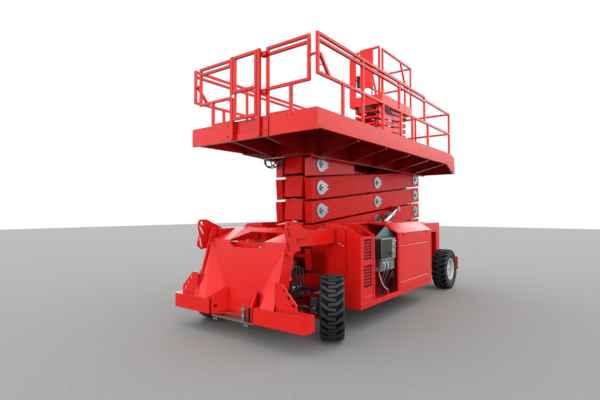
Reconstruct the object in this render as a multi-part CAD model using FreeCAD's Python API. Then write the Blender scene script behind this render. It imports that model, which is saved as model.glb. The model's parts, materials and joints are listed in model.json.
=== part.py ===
import FreeCAD, Part
import math
import os

os.makedirs("parts", exist_ok=True)

# A large scissor lift for building work, in millimetres. The origin is on the ground under the
# middle of the machine. +X is forward, towards the hopper shaped nose, +Y is left and +Z is up.

# Running gear
WHEELBASE = 4510.0
REAR_AXLE_X = -2380.0
FRONT_AXLE_X = REAR_AXLE_X + WHEELBASE
TYRE_R = 415.5
TYRE_W = 307.0
BEAD_R = 212.0              # where the tyre sits on its rim
BEAD_W = 240.0
RIM_LIP = 10.0
RIM_WALL = 9.0
WHEEL_DISC_T = 14.0
WHEEL_DISC_OUT = 45.0       # the disc's inner face lies this far outboard of the wheel's middle
HUB_R = 82.0
HUB_CAP_T = 12.0
SPINDLE_R = 38.0
WHEEL_TRACK_Y = 1049.0      # the fixed rear wheels' middle
KINGPIN_Y = 920.0
KINGPIN_OFFSET = 150.0      # from the kingpin out to the front wheel's middle
STEER_LEFT = 32.9           # the front wheels stand turned to the left, the inner one further
STEER_RIGHT = 27.0
KNUCKLE_R = 46.0
KNUCKLE_H = 236.0
YOKE_R = 56.0
YOKE_T = 25.0
STEER_ARM = 170.0           # the steering arm's reach ahead of the kingpin
STEER_ARM_IN = 70.0         # and how far inboard its eye lies
STEER_ARM_T = 18.0
STEER_ARM_Z = -20.0         # the arm's underside above the axle's middle
STEER_EYE_R = 22.0
AXLE_W = 150.0
AXLE_H = 150.0
DIFF_R = 105.0
FRONT_BEAM_HALF = 700.0
REAR_BEAM_HALF = 720.0
SEAT_HALF = 90.0            # of the seats that carry the frame on the axles
SEAT_W = 120.0
RUN = 0.3                   # running clearance round pins
STEER_RUN = 0.1             # and round the steering rod
GAP = 1.0                   # side clearance at yokes and rollers

# Main frame
FRAME_LEN_FRONT = 2420.0
FRAME_LEN_REAR = -2620.0
RAIL_Y = 480.0
RAIL_W = 200.0
RAIL_Z = 500.0
RAIL_H = 240.0
CROSS_W = 160.0
CROSS_H = 125.0
CROSS_X = [FRAME_LEN_FRONT - 80.0, 900.0, -560.0, -1900.0]
BEAM_Y = 740.0              # the upper beams that tie nose, cabinets and tail together
BEAM_IN = 70.0              # the beam's sides, in and out from its line
BEAM_OUT = 60.0
BEAM_Z = 1195.0
BEAM_H = 200.0
BRACKET_Y = 380.0
BRACKET_T = 120.0
BRACKET_X = 1090.0
BRACKET_LEN = 470.0
BRACKET_TOP = 1160.0
POD_ARM_X = [1400.0, 100.0, -1080.0]   # the arms that carry the side cabinets
POD_ARM_HALF = 50.0

# Main scissor stack
LEVELS = 4
PIN_X = 1290.0              # the column of pins that stays put while the stack rises
PIN_Z = 940.0
ARM_LEN = 3806.0            # end pin to end pin
LEVEL_RISE = 358.0          # end pin to end pin in height, with the stack down
ARM_DEPTH = 325.0
ARM_END = 245.0             # how far the arm runs on past its end pin
INNER_HALF = 170.0          # half the width of the single box arm in the middle
OUTER_Y = 225.0
OUTER_T = 125.0
PIN_R = 45.0
KEEPER_T = 12.0
KEEPER_R = 113.0
KEEPER_TAIL = 194.0         # from the pin to the bolt that holds the plate
KEEPER_TIP_R = 26.0
KEEPER_HEAD = 14.0          # the pin's head stands this far out of the plate
ROLLER_R = 58.0
ROLLER_W = 105.0
TRACK_T = 16.0
TRACK_END_X = -2740.0
TRACK_STOP_X = -1050.0      # where the track ends, just past the roller with the stack up
TRACK_LIP_X = -1450.0       # the lip over the roller stops here, clear of the arms that cross above
STACK_DEG = math.degrees(math.asin(LEVEL_RISE / ARM_LEN))
STACK_SPAN = math.sqrt(ARM_LEN ** 2 - LEVEL_RISE ** 2)
TOP_Z = PIN_Z + LEVELS * LEVEL_RISE

# Lift cylinders, outside the stack on each side
CYL_Y = 470.0
CYL_BASE = (750.0, 850.0)   # X and Z of the barrel's pivot on the frame
CYL_EYE = (-1250.0, 1700.0)  # X and Z of the rod's eye on the lowest arms
BARREL_R = 70.0
BARREL_LEN = 1900.0
ROD_R = 38.0
CLEVIS_R = 62.0
CYL_PIN_R = 30.0
CYL_EYE_HALF = 44.0
CYL_BASE_IN = 100.0         # the frame's ears stand this far in from the cylinder's line
CYL_BASE_OUT = 76.0         # and this far out
CYL_BASE_T = 24.0
CYL_BASE_REAR = 90.0
CYL_BASE_FRONT = 110.0
CYL_BASE_HALF = 45.0
EAR_GAP = 5.0               # between the cylinder's ear and the arms that rise past it

# Platform
DECK_FRONT = 2559.0
DECK_REAR = -2500.0
DECK_HALF = 1168.0
DECK_TOP = 2898.0           # the upper edge of the skirt round the deck
SIDE_SKIRT = 248.0
FRONT_SKIRT = 268.0
SKIRT_T = 38.0
FLOOR_Z = 2745.0
FLOOR_T = 20.0
TAIL_LEN = 290.0            # the deeper tail piece behind the deck
TAIL_BOTTOM = 2475.0
TAIL_TOP = 2830.0
RIB_X = [1500.0, 610.0, -320.0, -1230.0, -2100.0]
CROSS_FRONT = 1600.0        # the cross beam ahead of the stack
RIB_T = 14.0
RIB_FLANGE = 70.0
RIB_ROOT_Z = 2470.0
RIB_TIP_Z = 2640.0
DECK_CROSS_Z = 2690.0       # the underside of the beams between the spines
SPINE_Y = 430.0
SPINE_T = 40.0
BRACKET_BACK = 250.0        # where the bracket beside the top inner arm ends
BRACKET_CLEAR = 32.0        # between it and the arm under it
BRACKET_OVER = 95.0         # above the pin

# Guard rails
TUBE = 36.0
RAIL_TOP = 3820.0
RAIL_SECOND = 3742.0
RAIL_REAR_TOP = 3772.0
RAIL_MID = 3340.0
RAIL_FRAME_REAR_X = -1000.0
RAIL_REAR_X = -2455.0
RAIL_REAR_POST_Y = 400.0
FRONT_FRAME_IN = 330.0
FRONT_FRAME_OUT = 1040.0
RAIL_POSTS_LOW = [1940.0, 1400.0, 760.0, 90.0, -410.0, -1170.0]
RAIL_POSTS_HIGH = [1400.0, 150.0]
FRONT_POST_Y = 740.0
FRONT_MID_DROP = 60.0       # the front frame's lower bar lies this far under the middle rail
FRONT_LINK_Z = 3560.0
FRONT_LINK_W = 26.0
BRACE_DROP = 150.0          # the front corner's brace starts this far under the second rail
BRACE_FROM = 40.0
BRACE_TO = 260.0
GATE_POST_Y = 255.0
GATE_POST_W = 52.0
GATE_POST_FOOT = 2640.0
GATE_POST_DROP = 20.0
GATE_STAND = 16.0           # the gate's posts stand this far ahead of the deck's skirt
GATE_LINKS = [3200.0, 3700.0]
GATE_LINK_H = 60.0
GATE_HALF = 205.0
GATE_BARS = [2926.0, 3300.0, 3775.0]
GATE_BAR_W = 40.0
GATE_SIDE_W = 36.0
GATE_SIDE_GAP = 36.0        # from the posts' middle to the gate's edge
GATE_HINGES = [3050.0, 3620.0]
GATE_HINGE_H = 90.0

# Operator's basket on its own small scissor stack
BASKET_FRONT = -820.0
BASKET_LEN = 1500.0
BASKET_HALF = 370.0
BASKET_FLOOR = 3795.0
BASKET_TOE = 185.0
BASKET_TOP = 4900.0
BASKET_TUBE = 34.0
BASKET_PAN_T = 30.0
BASKET_SHEET_T = 20.0
BASKET_MID = 4440.0
BASKET_FRONT_MID = 4420.0
BASKET_FRONT_LOW = 4900.0   # the front tube runs up from here on the right
BASKET_FRONT_HIGH = 4935.0  # to here on the left
BASKET_POST_RIGHT = -245.0
BASKET_POST_LEFT = 300.0
BASKET_SIDE_START = 60.0    # the side rails start this far behind the front
BASKET_PANEL = (-120.0, 165.0, 4150.0, 4950.0)   # Y from and to, Z from and to
BASKET_PANEL_T = 30.0
BASKET_COLUMN_TOP = 4790.0
BASKET_COLUMN_T = 60.0
BASKET_BRACE = (920.0, 1160.0)   # the brace's upper and lower end, back from the front
HANGER_HALF = 45.0
GUIDE_LEN = 760.0           # of the tracks at the small stack's rear, forward of the pins
GUIDE_BACK = 60.0
MINI_LEVELS = 4
MINI_PIN_X = -930.0
MINI_PIN_Z = 3180.0
MINI_ARM_LEN = 1230.0
MINI_RISE = 128.0
MINI_DEPTH = 84.0
MINI_END = 55.0
MINI_INNER_Y = 215.0
MINI_OUTER_Y = 250.0
MINI_T = 22.0
MINI_PIN_R = 16.0
MINI_DEG = math.degrees(math.asin(MINI_RISE / MINI_ARM_LEN))
MINI_SPAN = math.sqrt(MINI_ARM_LEN ** 2 - MINI_RISE ** 2)
MINI_TOP_Z = MINI_PIN_Z + MINI_LEVELS * MINI_RISE
MINI_ROLLER_R = 24.0
MINI_ROLLER_LOW_R = 26.0
MINI_ROLLER_W = 24.0
PEDESTAL_BACK = 190.0       # the stand's ends, past the pins behind and in front
PEDESTAL_FRONT = 110.0
PEDESTAL_W = 40.0
PEDESTAL_RAIL_H = 60.0
PEDESTAL_POST = 60.0
PEDESTAL_SOLE_H = 50.0
PEDESTAL_GAP = 12.0         # between the arms and the stand's sides
PEDESTAL_LUG_T = 14.0
PEDESTAL_LUG_HALF = 60.0
PEDESTAL_LEDGE_T = 12.0

# Side cabinets
POD_FRONT = 1570.0
POD_REAR = -1170.0
POD_OUT = 1200.0
POD_IN = 620.0
POD_BOTTOM = 300.0
POD_EAVE = 1300.0
POD_SHOULDER_Y = 965.0
POD_SHOULDER_Z = 1445.0
POD_RIDGE_Z = 1470.0
POD_WALL = 30.0
WALL_Y = POD_OUT - 235.0    # how far the cross walls at the cabinets' ends reach outwards
WALL_T = 20.0
WALL_REAR_T = 40.0
POD_POST = 42.0
GRILLE_REAR = 1150.0        # the panel with the air grilles runs from the front to here
BAY_REAR = 322.0            # the open bay runs from there to here, and then the door begins
DOOR_GAP = 6.0
HINGE_R = 9.0
HINGE_HALF = 45.0
SILL_H = 70.0
EAVE_GAP = 6.0              # the openings end this far under the eave
DOOR_T = 26.0
DOOR_GROOVES = [500.0, 1090.0]
GROOVE_DEPTH = 9.0
GROOVE_UNDER = 10.0
GROOVE_OVER = 26.0
GROOVE_REAR = 80.0
GROOVE_FRONT = 60.0
GRILLE_T = 18.0
GRILLE_SET = 6.0            # how far the panel lies inside the cabinet's face
GRILLE_X = (1240.0, 1462.0)
GRILLE_Z = [(580.0, 890.0), (965.0, 1255.0)]
GRILLE_ROWS = 7
GRILLE_COLUMNS = 4
GRILLE_BAR_HALF = 6.0
LEDGE_X = (1210.0, 1480.0)
LEDGE_Z = (440.0, 500.0)
MOUNT_PLATE = [             # X and Z of the plate that carries the electrical box
    (830.0, 830.0), (830.0, 1235.0), (480.0, 1400.0), (180.0, 1300.0), (180.0, 760.0), (480.0, 760.0),
]
MOUNT_Y = 1030.0
MOUNT_T = 12.0
CONTROL_BOX = (360.0, 850.0, 905.0, 1225.0)   # X from and to, Z from and to
CONTROL_D = 123.0
VALVE_BOX = (360.0, 830.0, 730.0, 893.0)
VALVE_D = 98.0
MOUNT_FOOT = (230.0, 300.0, 780.0, 860.0)
ENGINE = (-950.0, 150.0, 700.0, 1120.0, 1050.0)   # X from and to, Y from and to, top

# Nose and tail
NOSE_TOP_X = FRAME_LEN_FRONT + 123.0
NOSE_TOP_Z = 1420.0
NOSE_DEPTH = 90.0           # of the side plates at the top
NOSE_SIDE_Y = 700.0
NOSE_SIDE_T = 30.0
NOSE_PLATE_T = 18.0
PLATE_TOP_X = NOSE_TOP_X + 17.0      # the leaning middle plate's upper edge
PLATE_TOP_Z = 1250.0
PLATE_LEAN = 0.093          # how far it comes forward for each unit down
PLATE_MID_Y = 338.0         # where its edge meets the folded corner's foot
PLATE_MID_Z = 605.0
CREST_Y = 500.0
BUMPER_FRONT = NOSE_TOP_X + 307.0
BUMPER_D = 190.0
BUMPER_Z = 262.0
BUMPER_H = 196.0
BUMPER_IN = 410.0
BUMPER_OUT = 1205.0
BUMPER_BEVEL = 45.0
HOLES = [                   # the lightening holes: out from the nose's side, up from the bumper
    (135.0, 252.0),
    (201.0, 173.0),
    (268.0, 94.0),
]
HOLE_R = 24.0
HOOD_T = 12.0
HOOD_REAR_Z = 1400.0
HOOD_CREASE_Y = 500.0
MOUTH_HALF = 330.0
MOUTH_REAR_X = NOSE_TOP_X - 433.0
MOUTH_REAR_Z = 1350.0
NOTCH_HALF = 240.0
NOTCH_Z = 1155.0
POCKET_TOP_Z = 490.0
POCKET_FLOOR_X = BUMPER_FRONT - 80.0
CHEEK_BACK_Y = 265.0
CHEEK_FRONT_Y = 375.0
CHEEK_T = 16.0
CHEEK_HOLE = (BUMPER_FRONT - 55.0, 368.0)
CHEEK_HOLE_R = 24.0
TOW_BAR_Z = 237.0
TOW_BAR_T = 15.0
TOW_BAR_W = 80.0
TOW_BAR_HALF = 385.0
SHACKLE_Y = [-355.0, 225.0]
SHACKLE_HALF = 24.0
SHACKLE_DROP = 42.0
SHACKLE_R = 8.0
LATCH_Y = 185.0
LATCH_TOP = 455.0
LUG_Y = 800.0
LUG_T = 26.0
LUG_OUTLINE = [             # X and Z from the nose's top corner
    (182.0, 20.0), (179.0, 70.0), (152.0, 108.0), (37.0, 110.0), (-263.0, -22.0), (-263.0, -100.0),
    (-23.0, -120.0),
    (-63.0, -205.0), (-113.0, -240.0), (-93.0, -280.0), (-43.0, -270.0), (47.0, -315.0), (117.0, -325.0),
    (182.0, -280.0), (192.0, -220.0), (157.0, -100.0),
]
LUG_EYE = (117.0, 55.0)
LUG_EYE_R = 27.0
LUG_SLOTS = [               # from one end to the other
    ((147.0, 5.0), (97.0, -85.0)),
    ((145.0, -165.0), (125.0, -270.0)),
]
LUG_SLOT_R = 19.0
TAIL_FACE = -2850.0
TAIL_BUMPER_Z = 370.0
TAIL_BUMPER_H = 280.0
TAIL_BUMPER_T = 44.0
TAIL_SET = 30.0             # the box starts this far ahead of the bumper's face
TAIL_LOW = 640.0
TAIL_FLOOR = 700.0
TAIL_HALF = BEAM_Y + BEAM_OUT
TAIL_WALL = 40.0
TAIL_PLATE = 30.0
TAIL_SLOT_HALF = 400.0
TAIL_CORE_D = 200.0
LEG_HALF = 90.0             # of the legs that carry the nose and the tail on the main rails


def vec(x, y, z):
    return FreeCAD.Vector(x, y, z)


def box(x0, x1, y0, y1, z0, z1):
    return Part.makeBox(x1 - x0, y1 - y0, z1 - z0, vec(x0, y0, z0))


def prism(points, direction):
    """A flat outline given as vectors, pushed along a direction."""
    wire = Part.makePolygon(points + [points[0]])
    return Part.Face(wire).extrude(direction)


def prism_xz(points, y0, y1):
    return prism([vec(x, y0, z) for x, z in points], vec(0, y1 - y0, 0))


def prism_yz(points, x0, x1):
    return prism([vec(x0, y, z) for y, z in points], vec(x1 - x0, 0, 0))


def prism_xy(points, z0, z1):
    return prism([vec(x, y, z0) for x, y in points], vec(0, 0, z1 - z0))


def rod(start, end, radius):
    a, b = vec(*start), vec(*end)
    return Part.makeCylinder(radius, (b - a).Length, a, b - a)


def pin_y(x, z, y0, y1, radius):
    return rod((x, y0, z), (x, y1, z), radius)


def tube_bar(start, end, width=TUBE):
    """A square bar from one point to another."""
    a, b = vec(*start), vec(*end)
    run = b - a
    side = vec(0, 0, 1).cross(run)
    if side.Length < 1e-6:
        side = vec(0, 1, 0)
    side.normalize()
    up = run.cross(side)
    up.normalize()
    half = width / 2
    corners = [a + side * (half * i) + up * (half * j) for i, j in ((-1, -1), (1, -1), (1, 1), (-1, 1))]
    return prism(corners, run)


def join(shapes):
    whole = shapes[0].multiFuse(shapes[1:]) if len(shapes) > 1 else shapes[0]
    return whole.removeSplitter()


def mirror_y(shape):
    return shape.mirror(vec(0, 0, 0), vec(0, 1, 0))


def both_sides(shapes):
    return shapes + [mirror_y(shape) for shape in shapes]


def polyhedron(corners, faces):
    """A closed solid from named corner points and its flat faces."""
    shell = [Part.Face(Part.makePolygon([vec(*corners[i]) for i in face + face[:1]])) for face in faces]
    solid = Part.Solid(Part.Shell(shell))
    solid.fixTolerance(1e-4)
    return solid if solid.Volume > 0 else solid.reversed()


def save(node, shape):
    solids = shape.Solids
    whole = solids[0] if len(solids) == 1 else Part.makeCompound(solids)
    if not solids or not all(solid.isValid() and solid.Volume > 0 for solid in solids):
        raise ValueError(f"{node} is not a sound solid")
    whole.exportStep(f"parts/{node}.step")
    print(f"{node:28s} solids {len(solids)} volume {whole.Volume / 1e9:.4f} m3")


# Wheels

def revolve_about_y(profile):
    """A closed outline of (radius, y) points turned about the Y axis."""
    face = Part.Face(Part.makePolygon([vec(r, y, 0) for r, y in profile + profile[:1]]))
    return face.revolve(vec(0, 0, 0), vec(0, 1, 0), 360)


def tyre():
    """Built round the origin with its axle along Y."""
    half, bead = TYRE_W / 2, BEAD_W / 2
    shoulder = half - 18.0
    outline = [
        (BEAD_R, -bead), (BEAD_R + RIM_LIP + 2.0, -bead), (BEAD_R + 45.0, -bead - 16.0),
        (TYRE_R - 105.0, -half), (TYRE_R - 34.0, -half + 3.0),
        (TYRE_R, -shoulder), (TYRE_R, shoulder),
        (TYRE_R - 34.0, half - 3.0), (TYRE_R - 105.0, half),
        (BEAD_R + 45.0, bead + 16.0), (BEAD_R + RIM_LIP + 2.0, bead), (BEAD_R, bead),
    ]
    return revolve_about_y(outline)


def rim():
    """The rim with its disc and hub; +Y is outboard."""
    bead, lip = BEAD_W / 2, BEAD_R + RIM_LIP
    inner = BEAD_R - RIM_WALL
    outline = [
        (inner, -bead - 12.0), (lip, -bead - 12.0), (lip, -bead - 2.0), (BEAD_R - RUN, -bead - 2.0),
        (BEAD_R - RUN, bead + 2.0), (lip, bead + 2.0), (lip, bead + 12.0), (inner, bead + 12.0),
    ]
    disc_in, disc_out = WHEEL_DISC_OUT, WHEEL_DISC_OUT + WHEEL_DISC_T
    disc = pin_y(0, 0, disc_in, disc_out, inner + 1.0)
    hub = pin_y(0, 0, -40.0, disc_out + 34.0, HUB_R)
    bore = pin_y(0, 0, -41.0, disc_out + 34.0 - HUB_CAP_T, SPINDLE_R + RUN)
    return join([revolve_about_y(outline), disc, hub]).cut(bore)


def place_wheel(shape, x, y, turn_deg):
    """Sets a wheel part with its outboard side away from the machine."""
    placed = shape.copy()
    if y < 0:
        placed.rotate(vec(0, 0, 0), vec(0, 0, 1), 180)
    placed.rotate(vec(0, 0, 0), vec(0, 0, 1), turn_deg)
    placed.translate(vec(x, y, TYRE_R))
    return placed


def steer_deg(side):
    return STEER_LEFT if side > 0 else STEER_RIGHT


def front_wheel_centre(side):
    turn = math.radians(steer_deg(side))
    x = FRONT_AXLE_X - side * KINGPIN_OFFSET * math.sin(turn)
    y = side * (KINGPIN_Y + KINGPIN_OFFSET * math.cos(turn))
    return x, y


def knuckle(side):
    """The swivelling knuckle, built straight ahead on the left and then turned and mirrored."""
    z = TYRE_R
    top = z + KNUCKLE_H / 2
    post = rod((0, 0, z - KNUCKLE_H / 2), (0, 0, top), KNUCKLE_R)
    spindle_end = KINGPIN_OFFSET + WHEEL_DISC_OUT + WHEEL_DISC_T + 34.0 - HUB_CAP_T - GAP
    spindle = pin_y(0, z, 0, spindle_end, SPINDLE_R)
    flange = pin_y(0, z, KNUCKLE_R - 12.0, KINGPIN_OFFSET - 42.0, SPINDLE_R + 34.0)
    arm_z = z + STEER_ARM_Z
    arm_half = STEER_EYE_R - 5.0
    arm = prism_xy([
        (0, arm_half), (STEER_ARM, -STEER_ARM_IN + arm_half), (STEER_ARM, -STEER_ARM_IN - arm_half),
        (0, -arm_half - 12.0),
    ], arm_z, arm_z + STEER_ARM_T)
    eye = rod((STEER_ARM, -STEER_ARM_IN, arm_z), (STEER_ARM, -STEER_ARM_IN, arm_z + STEER_ARM_T), STEER_EYE_R)
    shape = join([post, spindle, flange, arm, eye])
    if side < 0:
        shape = mirror_y(shape)
    shape.rotate(vec(0, 0, 0), vec(0, 0, 1), steer_deg(side))
    shape.translate(vec(FRONT_AXLE_X, side * KINGPIN_Y, 0))
    return shape


def steering_eye(side):
    """Where a steering arm's eye lies with the wheels turned as they stand."""
    turn = math.radians(steer_deg(side))
    x, y = STEER_ARM, -side * STEER_ARM_IN
    return (FRONT_AXLE_X + x * math.cos(turn) - y * math.sin(turn),
            side * KINGPIN_Y + x * math.sin(turn) + y * math.cos(turn))


STEER_ROD_GAP = 5.0
STEER_ROD_Z = TYRE_R + STEER_ARM_Z + STEER_ARM_T + STEER_ROD_GAP
STEER_ROD_T = 20.0
STEER_BARREL_R = 38.0
STEER_BARREL_HALF = 240.0


def front_axle():
    z = TYRE_R
    beam = box(FRONT_AXLE_X - AXLE_W / 2, FRONT_AXLE_X + AXLE_W / 2, -FRONT_BEAM_HALF, FRONT_BEAM_HALF,
               z - AXLE_H / 2, z + AXLE_H / 2)
    ball = Part.makeSphere(DIFF_R, vec(FRONT_AXLE_X, 0, z))
    seats = [box(FRONT_AXLE_X - SEAT_HALF, FRONT_AXLE_X + SEAT_HALF, RAIL_Y - SEAT_W / 2, RAIL_Y + SEAT_W / 2,
                 z + AXLE_H / 2 - 5.0, RAIL_Z)]
    yokes = []
    for z0 in (z + KNUCKLE_H / 2 + GAP, z - KNUCKLE_H / 2 - GAP - YOKE_T):
        yokes.append(rod((FRONT_AXLE_X, KINGPIN_Y, z0), (FRONT_AXLE_X, KINGPIN_Y, z0 + YOKE_T), YOKE_R))
        yokes.append(box(FRONT_AXLE_X - YOKE_R, FRONT_AXLE_X + YOKE_R, 690.0, KINGPIN_Y, z0, z0 + YOKE_T))
    back = box(FRONT_AXLE_X - YOKE_R, FRONT_AXLE_X + YOKE_R, 680.0, 720.0,
               z - KNUCKLE_H / 2 - GAP - YOKE_T, z + KNUCKLE_H / 2 + GAP + YOKE_T)
    return join([beam, ball] + both_sides(seats + yokes + [back]))


def steering_parts():
    """The double ended steering cylinder on the axle, and the rod that slides in it."""
    left, right = steering_eye(1), steering_eye(-1)
    x = (left[0] + right[0]) / 2
    z0, z1 = STEER_ROD_Z, STEER_ROD_Z + STEER_ROD_T
    z = (z0 + z1) / 2
    radius = STEER_ROD_T / 2
    barrel = pin_y(x, z, -STEER_BARREL_HALF, STEER_BARREL_HALF, STEER_BARREL_R)
    ears = [box(FRONT_AXLE_X + AXLE_W / 2, x, y - 20.0, y + 20.0, z - 30.0, z + 30.0) for y in (-150.0, 150.0)]
    slide = pin_y(x, z, -STEER_BARREL_HALF - 1.0, STEER_BARREL_HALF + 1.0, radius + STEER_RUN)
    barrel = join([barrel] + ears).cut(slide)
    pieces = [pin_y(x, z, right[1] + 60.0, left[1] - 60.0, radius)]
    for (ex, ey), inner in ((left, left[1] - 70.0), (right, right[1] + 70.0)):
        link = box(min(x, ex) - 14.0, max(x, ex) + 14.0, min(inner, ey), max(inner, ey), z0, z1)
        pin = rod((ex, ey, z0 - STEER_ROD_GAP + RUN), (ex, ey, z1 + 8.0), 12.0)
        pieces += [rod((ex, ey, z0), (ex, ey, z1), STEER_EYE_R), link, pin]
    return barrel, join(pieces)


def rear_axle():
    z = TYRE_R
    half = WHEEL_TRACK_Y - 60.0
    beam = box(REAR_AXLE_X - AXLE_W / 2, REAR_AXLE_X + AXLE_W / 2, -REAR_BEAM_HALF, REAR_BEAM_HALF,
               z - AXLE_H / 2, z + AXLE_H / 2)
    tube = pin_y(REAR_AXLE_X, z, -half + 20.0, half - 20.0, 68.0)
    end = WHEEL_TRACK_Y + WHEEL_DISC_OUT + WHEEL_DISC_T + 34.0 - HUB_CAP_T - GAP
    spindle = pin_y(REAR_AXLE_X, z, -end, end, SPINDLE_R)
    ball = Part.makeSphere(DIFF_R, vec(REAR_AXLE_X, 0, z))
    seat = box(REAR_AXLE_X - SEAT_HALF, REAR_AXLE_X + SEAT_HALF, RAIL_Y - SEAT_W / 2, RAIL_Y + SEAT_W / 2,
               z + AXLE_H / 2 - 5.0, RAIL_Z)
    return join([beam, tube, spindle, ball, seat, mirror_y(seat)])


# Main frame

def lower_track():
    """The channel on each side in which the lowest inner arm's rollers run."""
    top, bottom = PIN_Z + ROLLER_R + GAP, PIN_Z - ROLLER_R - GAP
    web_y = OUTER_Y + OUTER_T + 8.0
    inner = web_y - ROLLER_W - 20.0
    floor = box(TRACK_END_X, TRACK_STOP_X, inner, web_y, bottom - TRACK_T, bottom)
    lip = box(TRACK_END_X, TRACK_LIP_X, inner, web_y, top, top + TRACK_T)
    web = box(TRACK_END_X, TRACK_STOP_X, web_y, RAIL_Y - RAIL_W / 2 + 14.0, RAIL_Z + RAIL_H - 8.0, top + TRACK_T)
    return [floor, lip, web]


def frame():
    rail_in, rail_out = RAIL_Y - RAIL_W / 2, RAIL_Y + RAIL_W / 2
    rail_top = RAIL_Z + RAIL_H
    beam_top = BEAM_Z + BEAM_H
    sides = [box(FRAME_LEN_REAR, FRAME_LEN_FRONT, rail_in, rail_out, RAIL_Z, rail_top)]
    sides += lower_track()
    # the bracket that carries the lowest pin, and the pivot of the lift cylinder behind it
    bracket_out = BRACKET_Y + BRACKET_T
    bracket = box(BRACKET_X, BRACKET_X + BRACKET_LEN, BRACKET_Y, bracket_out, rail_top - 1.0, BRACKET_TOP)
    sides.append(bracket.cut(pin_y(PIN_X, PIN_Z, BRACKET_Y - 1.0, bracket_out + 1.0, PIN_R + RUN)))
    base_x, base_z = CYL_BASE
    ear = [(base_x - CYL_BASE_REAR, rail_top - 1.0), (base_x + CYL_BASE_FRONT, rail_top - 1.0),
           (base_x + CYL_BASE_HALF, base_z + 40.0), (base_x - CYL_BASE_HALF, base_z + 40.0)]
    sides += [prism_xz(ear, y0, y0 + CYL_BASE_T) for y0 in (CYL_Y - CYL_BASE_IN, CYL_Y + CYL_BASE_OUT)]
    pin_in, pin_out = CYL_Y - CYL_BASE_IN + 10.0, CYL_Y + CYL_BASE_OUT + 14.0
    sides.append(pin_y(base_x, base_z, pin_in, pin_out, CYL_PIN_R))
    # arms that carry the side cabinets, and the upper beams with their stands
    for x in POD_ARM_X:
        arm_low, arm_top = RAIL_Z + 60.0, rail_top - 40.0
        sides.append(box(x - POD_ARM_HALF, x + POD_ARM_HALF, rail_out - 1.0, POD_IN, arm_low, arm_top))
    for x0, x1 in ((POD_FRONT, NOSE_TOP_X - NOSE_DEPTH), (FRAME_LEN_REAR, POD_REAR)):
        sides.append(box(x0, x1, BEAM_Y - BEAM_IN, BEAM_Y + BEAM_OUT, BEAM_Z, beam_top))
    # the cross walls at the cabinets' ends, from the rails up to the beams
    for x0, x1 in ((POD_FRONT, POD_FRONT + WALL_T), (POD_REAR - WALL_REAR_T, POD_REAR)):
        sides.append(box(x0, x1, rail_out - 60.0, WALL_Y, rail_top - 1.0, beam_top))
    reach = rail_in + 1.0
    across = [box(x - CROSS_W / 2, x + CROSS_W / 2, -reach, reach, RAIL_Z + 10.0, RAIL_Z + CROSS_H) for x in CROSS_X]
    return join(both_sides(sides) + across)


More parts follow.
